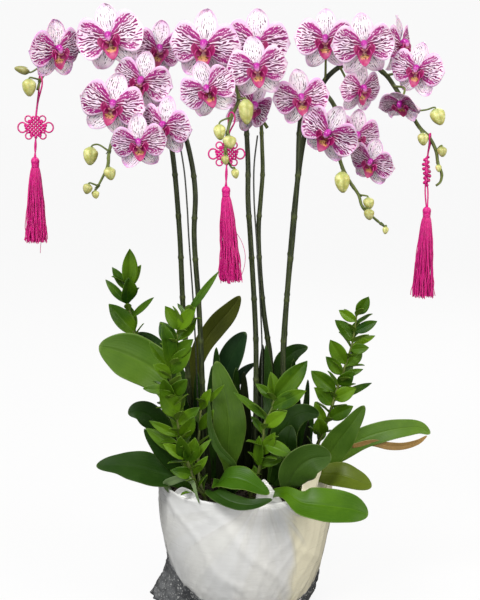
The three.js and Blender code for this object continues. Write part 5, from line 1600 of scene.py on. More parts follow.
# %% Where the leaves stand, in millimetres
LEAVES = {
    "leaf_left_broad": ((-82, -28), "bright", [
        ([(-110, -35, 326), (-118, -38, 351), (-134, -41, 370), (-156, -44, 384), (-185, -45, 398),
          (-216, -46, 408)],
         (8, 10, 17, 31, 34), (0.1, -1, 0.3)),
    ]),
    "leaf_pair_left": ((-84, -62), "deep", [
        ([(-100, -66, 208), (-127, -68, 218), (-156, -72, 228), (-188, -76, 234), (-220, -80, 234)],
         (14, 23, 26, 23, 15), (0, -0.7, 0.7)),
        ([(-84, -63, 188), (-100, -72, 226), (-120, -80, 252), (-137, -84, 274), (-148, -84, 292)],
         (5, 11, 13, 12, 8), (-0.5, -0.8, 0.3)),
    ]),
    "leaf_left_round": ((-98, 2), "deep", [
        ([(-126, 3, 262), (-139, 0, 282), (-153, -3, 293), (-165, -6, 297), (-178, -9, 294)],
         (8, 12, 17, 19), (0.1, -0.9, 0.4)),
        ([(-98, 1, 188), (-92, 2, 222), (-90, 4, 262), (-98, 6, 322)], (10, 16, 13), (0.1, -1, 0.1)),
        ([(-98, 3, 188), (-118, 12, 226), (-124, 16, 262), (-118, 16, 305)],
         (9, 16, 13), (-0.1, -1, 0.2)),
    ]),
    "leaf_left_back": ((-74, 54), "deep", [
        ([(-102, 60, 322), (-125, 66, 362), (-149, 70, 391), (-169, 70, 402)],
         (9, 12, 15, 14), (0.2, -1, 0.3)),
    ]),
    "leaf_centre_upright": ((-22, -60), "bright", [
        ([(-25, -66, 257), (-24, -69, 294), (-29, -66, 331), (-43, -60, 388)],
         (9, 20, 25, 23, 15), (0.2, -1, 0.2)),
        ([(-21, -61, 188), (-17, -92, 238), (-40, -96, 267), (-51, -93, 297), (-53, -88, 336)],
         (4, 4, 5, 6, 4), (-0.3, -1, 0.2)),
    ]),
    "leaf_back_rising": ((-46, 36), "deep", [
        ([(-75, 38, 303), (-78, 40, 350), (-67, 40, 388), (-46, 37, 419), (-26, 33, 443),
          (-8, 28, 469)],
         (7, 8, 10, 15, 17), (0.3, -1, 0.1)),
    ]),
    "leaf_pair_back": ((-22, 60), "deep", [
        ([(-30, 60, 297), (-30, 60, 337), (-22, 58, 365), (-11, 56, 389), (1, 54, 407)],
         (9, 12, 17, 19), (-0.3, -1, 0.1)),
        ([(-22, 61, 188), (-30, 66, 240), (-21, 70, 311), (-3, 74, 339), (16, 78, 352)],
         (5, 8, 10, 9), (0.3, -0.8, 0.5)),
        ([(-22, 59, 188), (-14, 44, 205), (-8, 30, 243), (3, 30, 300)], (8, 14, 12), (0.1, -1, 0.1)),
    ]),
    "leaf_pair_front": ((-34, -90), "deep", [
        ([(-40, -104, 214), (-28, -120, 228), (-4, -131, 229), (34, -142, 212)],
         (12, 18, 21, 14), (0.1, -0.6, 0.8)),
        ([(-36, -91, 190), (-46, -124, 209), (-22, -146, 202), (8, -155, 200), (38, -154, 208)],
         (5, 11, 13, 13, 9), (-0.1, -0.5, 0.85)),
        ([(-34, -89, 188), (-20, -95, 210), (-2, -99, 217), (18, -98, 210)],
         (8, 15, 12), (0, -0.8, 0.6)),
    ]),
    "leaf_front_bright": ((36, -98), "bright", [
        ([(58, -126, 208), (80, -146, 201), (104, -154, 200), (132, -156, 197), (155, -156, 193),
          (175, -154, 185)],
         (8, 13, 24, 26, 22), (0, -0.75, 0.65)),
    ]),
    "leaf_front_grey": ((66, -78), "deep", [
        ([(64, -93, 206), (72, -102, 232), (94, -106, 252), (125, -102, 256)],
         (13, 23, 27, 21), (0.2, -1, 0.2)),
    ]),
    "leaf_right_rising": ((92, -46), "deep", [
        ([(118, -50, 230), (138, -54, 262), (158, -58, 292), (176, -58, 320)],
         (14, 20, 20, 13), (0.1, -1, 0.2)),
    ]),
    "leaf_right_torn": ((86, 2), "bright", [
        ([(140, -1, 226), (178, -5, 253), (208, -9, 265), (240, -12, 272), (265, -13, 273),
          (281, -14, 264)],
         (10, 14, 16, 16, 13), (0, -0.9, 0.4)),
        ([(163, -6, 242), (193, -12, 249), (217, -18, 246), (240, -22, 247), (262, -20, 253),
          (276, -15, 261)],
         (3, 5, 6, 5), (0.1, -1, 0.1)),
        ([(86, 3, 188), (88, 8, 215), (90, 12, 246), (102, 12, 286)], (12, 17, 12), (0.1, -1, 0.1)),
    ]),
    "leaf_right_low": ((88, -66), "deep", [
        ([(108, -70, 216), (128, -78, 220), (147, -87, 220), (165, -93, 215), (185, -96, 207)],
         (9, 16, 20, 16), (0.1, -0.8, 0.6)),
    ]),
    "leaf_centre_dark": ((40, -28), "deep", [
        ([(54, -36, 240), (58, -40, 272), (70, -42, 296), (89, -42, 305), (111, -40, 301)],
         (10, 16, 20, 19, 14), (-0.2, -1, 0.2)),
        ([(41, -28, 188), (57, -46, 219), (58, -52, 245), (62, -54, 267), (68, -52, 288)],
         (6, 15, 20, 17), (-0.1, -1, 0.1)),
        ([(41, -27, 188), (38, -14, 260), (35, 6, 311), (35, 6, 355), (31, 6, 397)],
         (5, 7, 8, 7), (0.1, -1, 0.1)),
    ]),
    "leaf_centre_back": ((90, 28), "deep", [
        ([(69, 33, 304), (60, 33, 336), (60, 33, 365), (75, 32, 381), (96, 30, 389)],
         (8, 14, 17, 16), (0.1, -1, 0.1)),
    ]),
}
print(len(LEAVES), "leaf crowns with", sum(len(leaf[2]) for leaf in LEAVES.values()), "blades")

# %% [markdown]
# A blade runs from its foot in the bark along the midrib, where it is thick, and thins out towards
# its edge. Only the first blade of a crown goes down into the bark, as the others leave from it. The
# rows of the grid lie closer together towards the tip, where the outline turns fast.

# %% Orchid leaves
LEAF_FOOT_HALF = 7
LEAF_THICKNESS = 2.2
LEAF_FOLD = 0.18
LEAF_ROWS = 48
LEAF_COLUMNS = 25
TIP_SHARE = 0.72
LEAF_SLOTS = {"deep": "orchid_leaf", "bright": "bright_leaf"}
LEAF_TONES = {
    "leaf_left_broad": ["olive"],
    "leaf_centre_upright": ["mid", "grey"],
    "leaf_back_rising": ["brown"],
    "leaf_pair_back": ["blue", "blue"],
    "leaf_pair_front": ["fresh", "deep"],
    "leaf_front_bright": ["bright"],
    "leaf_front_grey": ["grey"],
    "leaf_right_torn": ["olive", "tan", "deep"],
    "leaf_right_rising": ["mid"],
    "leaf_right_low": ["yellow"],
}


def midrib(spine, halves, rows, foot=None):
    """Points of a blade's midrib, how far along each is, and the half width there."""
    line = np.array((footing(*foot) if foot else []) + list(spine), float)
    dense = smooth_path(line, 400)
    travelled = path_length(dense)
    start = FOOT_LEVELS[1] - FOOT_LEVELS[0] if foot else 0.0
    at = travelled[-1] * (1 - (1 - np.linspace(0, 1, rows)) ** 1.5)
    path = np.column_stack([np.interp(at, travelled, dense[:, k]) for k in range(3)])
    share = np.clip((at - start) / (travelled[-1] - start), 0, 1)
    values = ([LEAF_FOOT_HALF] if foot else []) + list(halves) + [halves[-1] * TIP_SHARE]
    rounding = 1 - 1.2 / (len(values) - 1)
    tip = np.clip((share - rounding) / (1 - rounding), 0, 1)
    return path, share, smooth_values(values, share) * np.sqrt(np.clip(1 - tip ** 2.4, 0.002, 1))


def leaf_shape(blade, number, foot=None, rows=LEAF_ROWS, columns=LEAF_COLUMNS):
    spine, halves, face = blade
    path, share, half = midrib(spine, halves, rows, foot)
    along = unit(np.gradient(path, axis=0))
    across = unit(np.cross(along, np.array(face, float)))
    normal = np.cross(across, along)
    v = np.linspace(-1, 1, columns)[None, :]
    s = share[:, None]
    flat = 0 * s * v
    first, second = np.random.default_rng(300 + number).uniform(0, 6.28, 2)
    lift = LEAF_FOLD * np.abs(v) ** 1.4 - 0.05 * np.exp(-((v / 0.06) ** 2))
    lift = lift + 0.06 * np.sin(9 * s + first + 2 * v) * v ** 2
    lift = lift + 0.04 * np.sin(21 * s + second) * np.abs(v) ** 3
    middle = path[:, None, :] + across[:, None, :] * (half[:, None] * v)[..., None]
    middle = middle + normal[:, None, :] * (half[:, None] * lift)[..., None]
    thick = LEAF_THICKNESS * (0.9 - 0.55 * np.abs(v) ** 1.5) * (1 - 0.4 * s)
    edge = np.minimum(1 - np.abs(v) + flat, (1 - s) * 3 + flat)
    place = np.stack([s + flat, v + flat, number + flat], axis=-1)
    fresh = 0.35 * (1 - s) ** 3 + flat
    return sheet(middle * MM, thick * MM, place, np.stack([edge, fresh], axis=-1))


for number, (name, (foot, look, blades)) in enumerate(LEAVES.items()):
    shapes = [leaf_shape(blade, 3 * number + k, None if k else foot) for k, blade in enumerate(blades)]
    tones = LEAF_TONES.get(name, ["deep"])
    for k, shape in enumerate(shapes):
        shape["paint"] = min(k, len(tones) - 1)
    piece(f"blade_{name[5:]}", shapes, [leaf_greens[tone] for tone in tones], [name], LEAF_SLOTS[look])
print("one leaf:", len(pieces["blade_left_broad"][0].data.polygons), "faces")

# %% [markdown]
# Narrow, nearly black blades fill the space between the stems just above the bark, with short
# shaded leaves of the usual dark green among them. The black ones are painted shade: dark sheets
# set where the inside of the plant lies in shadow. They are hardly seen one by one, but without them
# the room behind would shine through the plant. Each stands upright from a foot on the bark and
# leans a little. One pale leaf curls over in an arc at the left of the rim.

# %% Painted shade blades and shaded leaves between the stems
# Nearly black blades in the 'shade' green, painted shade where the plant's inside is in shadow: foot x, y,
# top, lean and half width.
PAINTED_SHADE_BLADES = [
    (-58, -12, 300, -8, 10), (-42, 12, 326, 6, 12), (-26, 24, 344, -5, 12), (-12, -6, 300, 7, 10),
    (2, 30, 350, -4, 13), (16, 4, 318, 5, 12), (30, -22, 284, 8, 10), (44, 16, 340, -6, 13),
    (58, -10, 300, 5, 12), (72, 18, 318, 10, 12), (88, 0, 280, 8, 11), (-74, 20, 312, -10, 11),
    (-34, -34, 262, -6, 9), (24, 34, 392, 3, 12), (40, 30, 402, -3, 12), (56, 34, 386, 6, 11),
]
SHADED_GREEN = [
    (-56, 2, 366, 6, 16), (-40, 14, 392, -4, 15), (-68, 30, 350, -6, 14), (66, 24, 372, 8, 16),
    (20, 44, 356, 6, 15), (84, 20, 340, 12, 15), (-18, 48, 352, 4, 14),
]
BLADE_FOOT = 178
CURLED_LEAF = (
    [
        (-108, -68, 186), (-118, -80, 206), (-108, -90, 214), (-96, -97, 220), (-85, -104, 223),
        (-77, -110, 218), (-73, -116, 208), (-67, -121, 190),
    ],
    (3, 4, 5, 6, 5, 4, 3, 2),
    (0.1, -1, 0.3),
)


def narrow_blade_shape(x, y, top, lean, half, number):
    knee = BLADE_FOOT + 0.35 * (top - BLADE_FOOT)
    spine = [(x, y, BLADE_FOOT), (x + 0.2 * lean, y - 2, knee), (x + lean, y, top)]
    halves = (0.8 * half, half, 0.95 * half, 0.6 * half)
    return leaf_shape((spine, halves, (0.1 * lean, -1, 0.1)), number, None, 20, 9)


shaded = [narrow_blade_shape(*upright_blade, 60 + k) for k, upright_blade in enumerate(PAINTED_SHADE_BLADES)]
greens = [narrow_blade_shape(*upright_blade, 80 + k) for k, upright_blade in enumerate(SHADED_GREEN)]
curled = leaf_shape(CURLED_LEAF, 90, None, 30, 13)
for shape, paint in [(green, 1) for green in greens] + [(curled, 2)]:
    shape["paint"] = paint
    shaded.append(shape)
shaded_finishes = [leaf_greens[tone] for tone in ("shade", "deep", "pale")]
piece("shaded_leaf_bases", shaded, shaded_finishes, ["leaf_centre_dark"], "orchid_leaf")
print("shaded leaf bases:", len(shaded))

# %% [markdown]
# A companion plant fills the space between the orchids: upright stems with pointed glossy leaflets.
# The leaflets that a viewer sees are placed one by one, by the place on the stem where each grows
# and where its tip ends, and a grid is computed for each, bowed and folded a little differently.
# The young ones in the shade behind them stand round the stem at the golden angle. That is a rule,
# so Geometry Nodes do it: one leaflet is made as a mesh, and the tree sets copies of it along the
# stem, turns each by the golden angle, leans it outwards and varies its size. The list below gives
# the foot of each plant, and for each branch the route of its stem and its leaflets: the place on
# the stem, the tip's position and the width.

# %% Where the companion stems, wires and ornaments are
FILLERS = {
    "filler_left": ((-98, 42), [
        ([(-104, 42, 220), (-135, 46, 325), (-154, 50, 376), (-173, 50, 411), (-177, 50, 438),
          (-182, 49, 454), (-178, 47, 480)],
         [(5.9, -176, 43, 539, 25), (5.8, -160, 57, 512, 15), (5.7, -204, 53, 509, 15),
          (4.9, -178, 33, 496, 28), (4.9, -215, 57, 489, 14), (2.8, -209, 40, 454, 29),
          (3.7, -140, 42, 464, 11), (2.9, -182, 64, 449, 19)]),
    ]),
    "filler_front": ((-60, -92), [
        ([(-70, -96, 205), (-88, -100, 257), (-95, -101, 285), (-99, -101, 316), (-108, -99, 347),
          (-108, -97, 381), (-103, -94, 405), (-97, -92, 439), (-86, -90, 462)],
         [(7.1, -115, -100, 478, 20), (7.1, -71, -102, 477, 21), (7.9, -38, -88, 527, 11),
          (5.2, -118, -111, 456, 24), (6.4, -123, -85, 452, 24), (5, -138, -101, 426, 16),
          (6.6, -71, -86, 456, 21), (5.9, -75, -106, 431, 20), (4.8, -132, -113, 395, 20),
          (4.9, -78, -106, 420, 24), (4, -84, -114, 374, 21), (3.9, -118, -116, 375, 21),
          (4.2, -148, -101, 357, 14), (3, -124, -116, 359, 32), (2.6, -66, -113, 332, 18),
          (1.9, -74, -117, 320, 21), (2, -139, -109, 311, 14), (1, -145, -98, 297, 21),
          (0.9, -119, -118, 279, 18), (0.9, -94, -122, 292, 21), (0.8, -73, -110, 286, 24),
          (0.7, -50, -99, 281, 11), (0.4, -55, -105, 257, 12), (0.4, -108, -120, 240, 18)]),
        ([(-68, -88, 215), (-70, -80, 243), (-68, -74, 287), (-65, -72, 325)],
         [(2.9, -31, -82, 358, 9), (2.8, -50, -84, 352, 16), (2, -46, -88, 322, 16)]),
    ]),
    "filler_centre": ((8, -74), [
        ([(17, -78, 212), (21, -82, 233), (26, -87, 271), (28, -89, 302), (39, -88, 325),
          (42, -86, 344)],
         [(4.8, 89, -92, 396, 30), (4, 87, -102, 354, 24), (4.7, 15, -92, 362, 14),
          (3.2, -17, -94, 350, 12), (2.8, 60, -101, 324, 21), (2, 69, -105, 258, 21),
          (1, 20, -94, 284, 16), (1.5, 43, -96, 290, 18), (4.5, 37, -77, 376, 21),
          (1.1, 57, -90, 250, 15)]),
    ]),
    "filler_right": ((76, -26), [
        ([(80, -24, 206), (102, -14, 230), (117, -13, 265), (130, -14, 303), (138, -14, 332),
          (151, -15, 373), (160, -16, 404), (165, -17, 439), (166, -17, 453)],
         [(7.7, 183, -21, 477, 19), (7, 139, -23, 457, 15), (6.5, 196, -22, 440, 16),
          (6.1, 135, -12, 440, 22), (5.9, 195, -8, 415, 11), (5.7, 184, -28, 401, 16),
          (5, 127, -19, 411, 24), (4.6, 120, -27, 387, 19), (4.9, 176, -5, 393, 20),
          (4.5, 176, -24, 367, 11), (4.2, 161, -27, 365, 22), (3.9, 99, -18, 363, 26),
          (3.5, 166, -24, 338, 22), (3.2, 103, -26, 339, 22), (3.5, 192, -4, 341, 12),
          (2.6, 162, -25, 310, 22), (2.4, 105, -10, 312, 16), (1.9, 110, -26, 292, 24)]),
    ]),
}
SUPPORTS = {
    "support_left": [
        (-71, -12, 250), (-72, -12, 316), (-77, -10, 451), (-84, -8, 567), (-86, -4, 608),
        (-90, 0, 660), (-96, 6, 698),
    ],
    "support_centre": [
        (25, -4, 250), (25, -3, 313), (25, 1, 406), (17, 9, 554), (13, 13, 617), (13, 20, 668),
        (18, 26, 712),
    ],
}
ORNAMENTS = {
    "left": ("A", (-306, -10, 726), (-308, -10, 683), (-310, -10, 556), 0),
    "centre": ("C", (-27, -64, 692), (-28, -64, 646), (-21, -64, 506), 0),
    "right": ("F", (263, -28, 664), (265, -28, 612), (262, -28, 477), 1.45),
}
STRAY_THREADS = {
    "left": [(-301, -14, 575), (-301, -13, 566), (-303, -12, 553), (-304, -12, 541)],
    "centre": [
        (-15, -62, 581), (-7, -60, 568), (-1, -60, 550), (-1, -60, 533), (-5, -60, 518),
        (-9, -60, 509),
    ],
}
print(len(FILLERS), "companion plants,", len(SUPPORTS), "wires and", len(ORNAMENTS), "ornaments")

# %% One leaflet
FILLER_RADIUS = 3.6
LEAFLET_LENGTH = 44.0
LEAFLET_WIDTH = 20
LEAFLET_BOW = 0.25
LEAFLET_OUTLINE = (0.1, 0.38, 0.68, 0.88, 0.98, 1.0, 0.95, 0.84, 0.66, 0.4, 0.04)
LEAFLET_ROWS = 16
LEAFLET_COLUMNS = 11


def leaflet_shape(root, tip, width, face, bow, number, fresh=0.0):
    """A pointed leaflet from its root to its tip, bowed away from its face."""
    root, tip, face = (np.array(value, float) for value in (root, tip, face))
    length = np.linalg.norm(tip - root)
    along = unit(tip - root)
    across = unit(np.cross(along, face))
    normal = np.cross(across, along)
    s = np.linspace(0, 1, LEAFLET_ROWS)[:, None]
    v = np.linspace(-1, 1, LEAFLET_COLUMNS)[None, :]
    flat = 0 * s * v
    half = width / 2 * smooth_values(LEAFLET_OUTLINE, s[:, 0])[:, None]
    drop = bow * length * (0.25 - (s - 0.45) ** 2)
    fold = 0.3 * half * np.abs(v) ** 1.3 - 0.1 * half * np.exp(-((v / 0.1) ** 2))
    lift = fold + 0.05 * width * np.sin(8 * s + number) * v ** 2
    middle = root + along * (s * length + flat)[..., None] + across * (half * v)[..., None]
    middle = middle + normal * (drop + lift)[..., None]
    edge = np.minimum(1 - np.abs(v) + flat, (1 - s) * 3 + flat)
    place = np.stack([s + flat, v + flat, number + flat], axis=-1)
    thick = 0.9 - 0.5 * np.abs(v) + flat
    return sheet(middle * MM, thick * MM, place, np.stack([edge, fresh + flat], axis=-1))


pattern_shape = leaflet_shape((0, 0, 0), (0, 0, LEAFLET_LENGTH), LEAFLET_WIDTH, (0, 1, 0), LEAFLET_BOW, 0)
leaflet = piece("leaflet_pattern", [pattern_shape], [leaflet_green])
pieces.pop("leaflet_pattern")
bpy.context.scene.collection.objects.unlink(leaflet)
print("leaflet:", len(leaflet.data.polygons), "faces")

# %% A tree that sets young leaflets along a stem
YOUNG_TURN = 0.5
YOUNG_LEAN = 0.4
YOUNG_SIZES = (0.82, 1.15)
YOUNG_FRESH = (-0.8, 0.4)


def leaflet_tree():
    tree, given = geometry_tree("leaflets", Start=0.3, Leaflets=12, Size=1.0, Lean=0.75, Seed=1, Leaflet=None)
    seed = given["Seed"]
    line = result(tree, "GeometryNodeMeshToCurve", {0: given["Geometry"]})
    upper = result(tree, "GeometryNodeTrimCurve", {"Curve": line, "Start": given["Start"], "End": 1.0})
    sockets = {"Curve": upper, "Count": given["Leaflets"]}
    spots = node(tree, "GeometryNodeCurveToPoints", sockets, mode="COUNT").outputs
    shape = result(tree, "GeometryNodeObjectInfo", {"Object": given["Leaflet"]}, "Geometry")
    index = result(tree, "GeometryNodeInputIndex")
    spin = index * GOLDEN_ANGLE + random_number(tree, 0.0, YOUNG_TURN, seed)
    lean = given["Lean"] + random_number(tree, 0.0, YOUNG_LEAN, seed, ID=index + 50)
    grow = given["Size"] * random_number(tree, *YOUNG_SIZES, seed, ID=index + 90)
    tangent = Output(spots["Tangent"])
    rotation = result(tree, "FunctionNodeAlignRotationToVector", {"Vector": tangent}, axis="Z")
    for axis, angle in (((0, 0, 1), spin), ((1, 0, 0), lean)):
        turn = result(tree, "FunctionNodeAxisAngleToRotation", {"Axis": axis, "Angle": angle})
        rotation = result(tree, "FunctionNodeRotateRotation", {0: rotation, 1: turn}, rotation_space="LOCAL")
    set_out = {"Points": Output(spots["Points"]), "Instance": shape, "Rotation": rotation, "Scale": grow}
    copies = result(tree, "GeometryNodeInstanceOnPoints", set_out)
    stored = {"Geometry": copies, "Name": "fresh", "Value": random_number(tree, *YOUNG_FRESH, 5)}
    kept = result(tree, "GeometryNodeStoreNamedAttribute", stored, data_type="FLOAT", domain="INSTANCE")
    close_tree(tree, given, kept)
    return tree


leaflets_along = leaflet_tree()
print("leaflet tree:", len(leaflets_along.nodes), "nodes")

# %% Companion stems with their leaflets
YOUNG_LENGTH = 31.0
YOUNG_START = 0.12
STEM_TIP = 1.3
FILLER_POINTS = 60
LEAFLET_TURNS = (0.3, -0.35, 0.0, 0.55, -0.15)


def placed_leaflet(route, leaflet_place, number, chance):
    """One leaflet from its place along the points of the stem to the position of its tip."""
    place, x, y, z, width = leaflet_place
    below = min(int(place), len(route) - 2)
    start = np.array(route[below], float)
    root = start + (np.array(route[below + 1], float) - start) * (place - below)
    face = (LEAFLET_TURNS[number % len(LEAFLET_TURNS)], -1, 0.35)
    bow = chance.uniform(0.05, 0.3)
    fresh = chance.uniform(-0.4, 0.9)
    return leaflet_shape(root, (x, y, z), width, face, bow, number, fresh)


def young_leaflets(name, path, count, seed):
    line = plain_mesh("stem line", path * MM, [(i, i + 1) for i in range(len(path) - 1)])
    size = YOUNG_LENGTH / LEAFLET_LENGTH
    return grown(name, line, leaflets_along, leaflet_green, Leaflet=leaflet, Start=YOUNG_START,
                 Leaflets=count, Size=size, Seed=seed)


for number, (name, (foot, branches)) in enumerate(FILLERS.items()):
    stems = []
    placed = []
    chance = np.random.default_rng(70 + number)
    for k, (route, leaflets) in enumerate(branches):
        path = smooth_path(footing(*foot) + route, FILLER_POINTS)
        shape = tube(path * MM, np.linspace(FILLER_RADIUS, STEM_TIP, FILLER_POINTS) * MM, 10, number)
        shape["look"][:, 0] = np.repeat(np.linspace(0.3, 1, FILLER_POINTS), 10)
        stems.append(shape)
        placed += [placed_leaflet(route, row, i, chance) for i, row in enumerate(leaflets)]
        mesh = young_leaflets(f"{name}_young_{k}", path, 2 * len(leaflets), k)
        keep_piece(f"{name}_young_{k}", mesh, [name], "companion_leaf")
    piece(f"{name}_leaves", placed, [leaflet_green], [name], "companion_leaf")
    piece(f"{name}_stems", stems, [stem], [name], "companion_leaf")
print("companion plants:", len(FILLERS))

# %% [markdown]
# Two thin dark wires stand beside the heaviest spikes. They are plain tubes along a path of their
# own, close to the stem, because a real wire is bent by hand and doesn't follow the stem exactly.

# %% Support wires
WIRE_RADIUS = 1.2
for name, route in SUPPORTS.items():
    path = smooth_path(footing(*route[0][:2]) + route, 120)
    piece(f"{name}_wire", [tube(path * MM, WIRE_RADIUS * MM, 8)], [wire], [name], "wire")
print("wires:", len(SUPPORTS))

# %% [markdown]
# The ornaments are tied from one silk cord. The knot is a flat diamond in which the cord runs to and
# fro in two directions and passes over and under itself, with a loop at each side. A picture of a
# knot on a flat plate would be quicker, but real crossings catch the light. Each set of runs is one
# path: a row of straight runs, joined by half circles, that rises and dips at each crossing.

# %% Woven knots
CORD_RADIUS = 1.2
WOVEN_RADIUS = 1.35
EAR_CORD_RADIUS = 1.2
CORNER_CORD_RADIUS = 1.1
KNOT_WIDTH = 52
KNOT_HEIGHT = 38
KNOT_RUNS = 6
KNOT_SIDE = 22.9
KNOT_RISE = 1.25
TURN_OUT = 2.4


def woven_runs(hand):
    """One set of runs, as points (right, up, front), before the diamond is turned by 45 degrees."""
    gap = KNOT_SIDE / KNOT_RUNS
    points = []
    for run in range(KNOT_RUNS):
        level = (run + 0.5) * gap - KNOT_SIDE / 2
        steps = np.linspace(-KNOT_SIDE / 2, KNOT_SIDE / 2, 6 * KNOT_RUNS + 1)
        steps = steps if run % 2 == 0 else steps[::-1]
        for step in steps:
            crossing = (step + KNOT_SIDE / 2) / gap - 0.5 + run
            points.append((step, level, hand * KNOT_RISE * math.cos(math.pi * crossing)))
        if run + 1 < KNOT_RUNS:
            out = np.sign(steps[-1]) * TURN_OUT
            for turn in np.linspace(0, math.pi, 7)[1:-1]:
                rise = gap * (1 - math.cos(turn)) / 2
                points.append((steps[-1] + out * math.sin(turn), level + rise, 0))
    points = np.array(points)
    return points if hand > 0 else points[:, [1, 0, 2]]


def ring_path(x, z, wide, high, depth, sides=26):
    """A loop of cord round a middle point in the plane of the knot."""
    angles = np.linspace(0, TURN, sides)
    return np.column_stack([x + wide * np.cos(angles), depth * np.sin(angles), z + high * np.sin(angles)])


def knot_paths():
    """Paths of the knot's cords in its own plane (right, front, up), each with its radius."""
    half_turn = math.sqrt(0.5)
    paths = []
    for hand in (1, -1):
        x, y, depth = woven_runs(hand).T
        paths.append((np.column_stack([(x - y) * half_turn, depth, (x + y) * half_turn]), WOVEN_RADIUS))
    ear = KNOT_HEIGHT * 0.17
    corner = KNOT_HEIGHT * 0.12
    for hand in (-1, 1):
        side = ring_path(hand * KNOT_WIDTH * 0.37, 0, -hand * ear, ear * 1.1, 0.8)
        paths.append((side, EAR_CORD_RADIUS))
        for level in (-1, 1):
            ring = ring_path(hand * KNOT_WIDTH * 0.2, level * KNOT_HEIGHT * 0.32, corner, corner, 0.6)
            paths.append((ring, CORNER_CORD_RADIUS))
    return paths


print("a knot has", len(knot_paths()), "cords")

# %% [markdown]
# The cord leaves the knot, goes over the flower stem and comes back. It is led round the stem at the
# sum of both radii and a hair more, so that it touches nothing. The knot at the right hangs edge on,
# and its side loops are folded together into a lumpy braid, which a winding path draws.

# %% Hanging cords
CORD_GAP = 0.3
FOLDED_LOOP = 5.6
FOLDED_TURNS = 6
FOLDED_RADIUS = 2.1
RUN_APART = 0.9
RUN_RADIUS = 1.1
BRAIDED = "right"


def hanger_path(route, loop, start):
    """The cord from the knot up and over the flower stem, and back to the knot."""
    before, held, after = (np.array(route[loop + step], float) for step in (-1, 0, 1))
    along = unit(after - before)
    side = unit(np.array([-along[1], along[0], 0.0]))
    clear = stem_radius(loop / (len(route) - 1)) + CORD_GAP + CORD_RADIUS
    over = clear / math.hypot(along[0], along[1])
    join = start + (held - start) * 0.45
    wide = clear + 1
    around = [(-wide, -6), (-wide, 1), (-clear / 2, over), (clear / 2, over), (wide, 1), (wide, -6)]
    bow = [held + side * across + np.array([0, 0, rise]) for across, rise in around]
    return smooth_path([start, join - side * 0.8, *bow, join + side * 0.8, start + side * 1.2], 80)


def folded_loops(middle):
    """The side loops of a knot that hangs edge on, folded together into a lumpy braid."""
    turns = np.linspace(0, 1, 110)
    angle = FOLDED_TURNS * TURN * turns
    taper = np.sin(math.pi * np.clip(turns, 0.03, 0.97)) ** 0.3
    width = FOLDED_LOOP * (0.75 + 0.25 * np.sin(31 * turns)) * taper
    height = KNOT_HEIGHT * (0.52 - 1.04 * turns) + 1.6 * np.sin(2 * angle)
    return np.column_stack([width * np.cos(angle), width * np.sin(angle), height]) + middle


def ornament_cords(name, spike, knot, head, turn):
    facing = np.array([(math.cos(turn), math.sin(turn), 0), (-math.sin(turn), math.cos(turn), 0), (0, 0, 1)])
    middle = np.array(knot, float)
    cords = [tube(path @ facing * MM + middle * MM, radius * MM, 7) for path, radius in knot_paths()]
    top = middle + np.array([0, 0, KNOT_HEIGHT * 0.3])
    low = middle - np.array([0, 0, KNOT_HEIGHT * 0.3])
    if name == BRAIDED:
        cords.append(tube(folded_loops(middle) * MM, FOLDED_RADIUS * MM, 8))
    hanger = hanger_path(SPIKES[spike]["route"], SPIKES[spike]["loop"], top)
    cords.append(tube(hanger * MM, CORD_RADIUS * MM, 8))
    for shift in (-RUN_APART, RUN_APART):
        sway = np.array([shift, 0, 0])
        half_way = (low + np.array(head)) / 2 + sway * (2.2 if name == BRAIDED else -1.0)
        run = smooth_path([low + sway, half_way, np.array(head) + sway], 24)
        cords.append(tube(run * MM, RUN_RADIUS * MM, 8))
    return cords


for name, (spike, knot, head, end, turn) in ORNAMENTS.items():
    cords = ornament_cords(name, spike, knot, head, turn)
    piece(f"woven_knot_{name}", cords, [silk], [f"knot_{name}"], "silk")
print("one knot:", len(pieces["woven_knot_left"][0].data.polygons), "faces")

# %% [markdown]
# A tassel is a bound head with a skirt of hanging threads. The threads repeat, so Geometry Nodes
# make them: points spread on a disc in the way of sunflower seeds, a line hangs from each, the lines
# fan out and waver on their way down, and a small round profile gives them thickness. The fan opens
# fast below the head and slowly after, as soft threads do.

# %% Tassel threads


def strand_tree():
    tree, given = geometry_tree("tassel strands", Strands=150, Length=0.13, Top=0.0045, Bottom=0.0165,
                                Thread=0.00062, Shift=0.0, Seed=1)
    index = result(tree, "GeometryNodeInputIndex")
    radius = ((index + 0.5) / given["Strands"]) ** 0.5
    angle = index * GOLDEN_ANGLE
    spot = combine(radius * calc("COSINE", angle), radius * sine(angle))
    spots = result(tree, "GeometryNodePoints", {"Count": given["Strands"], "Position": spot})
    line = result(tree, "GeometryNodeCurvePrimitiveLine", {"Start": (0, 0, 0), "End": (0, 0, -1)})
    line = result(tree, "GeometryNodeResampleCurve", {"Curve": line, "Count": 18})
    hung = result(tree, "GeometryNodeInstanceOnPoints", {"Points": spots, "Instance": line})
    real = result(tree, "GeometryNodeRealizeInstances", {0: hung})
    x, y, z = parts_of(result(tree, "GeometryNodeInputPosition"))
    down = z * -1
    fan = {"Value": down ** 0.6, "To Min": given["Top"], "To Max": given["Bottom"]}
    reach = result(tree, "ShaderNodeMapRange", fan)
    seed = given["Seed"] * 3.7
    wave = shaken(combine(x * 3 + seed, y * 3, z * 2.4), 1.6, 1.0, down * 0.011)
    ragged = noise(combine(x * 40, y * 40, seed), 1.0, 0.0)
    cut = given["Length"] * (ragged * 0.09 + 0.93)
    hanging = combine(x * reach + down * given["Shift"], y * reach, z * cut)
    fanned = result(tree, "GeometryNodeSetPosition", {"Geometry": real, "Position": hanging, "Offset": wave})
    profile = result(tree, "GeometryNodeCurvePrimitiveCircle", {"Resolution": 5, "Radius": given["Thread"]})
    thick = {"Curve": fanned, "Profile Curve": profile, "Fill Caps": True}
    close_tree(tree, given, result(tree, "GeometryNodeCurveToMesh", thick))
    return tree


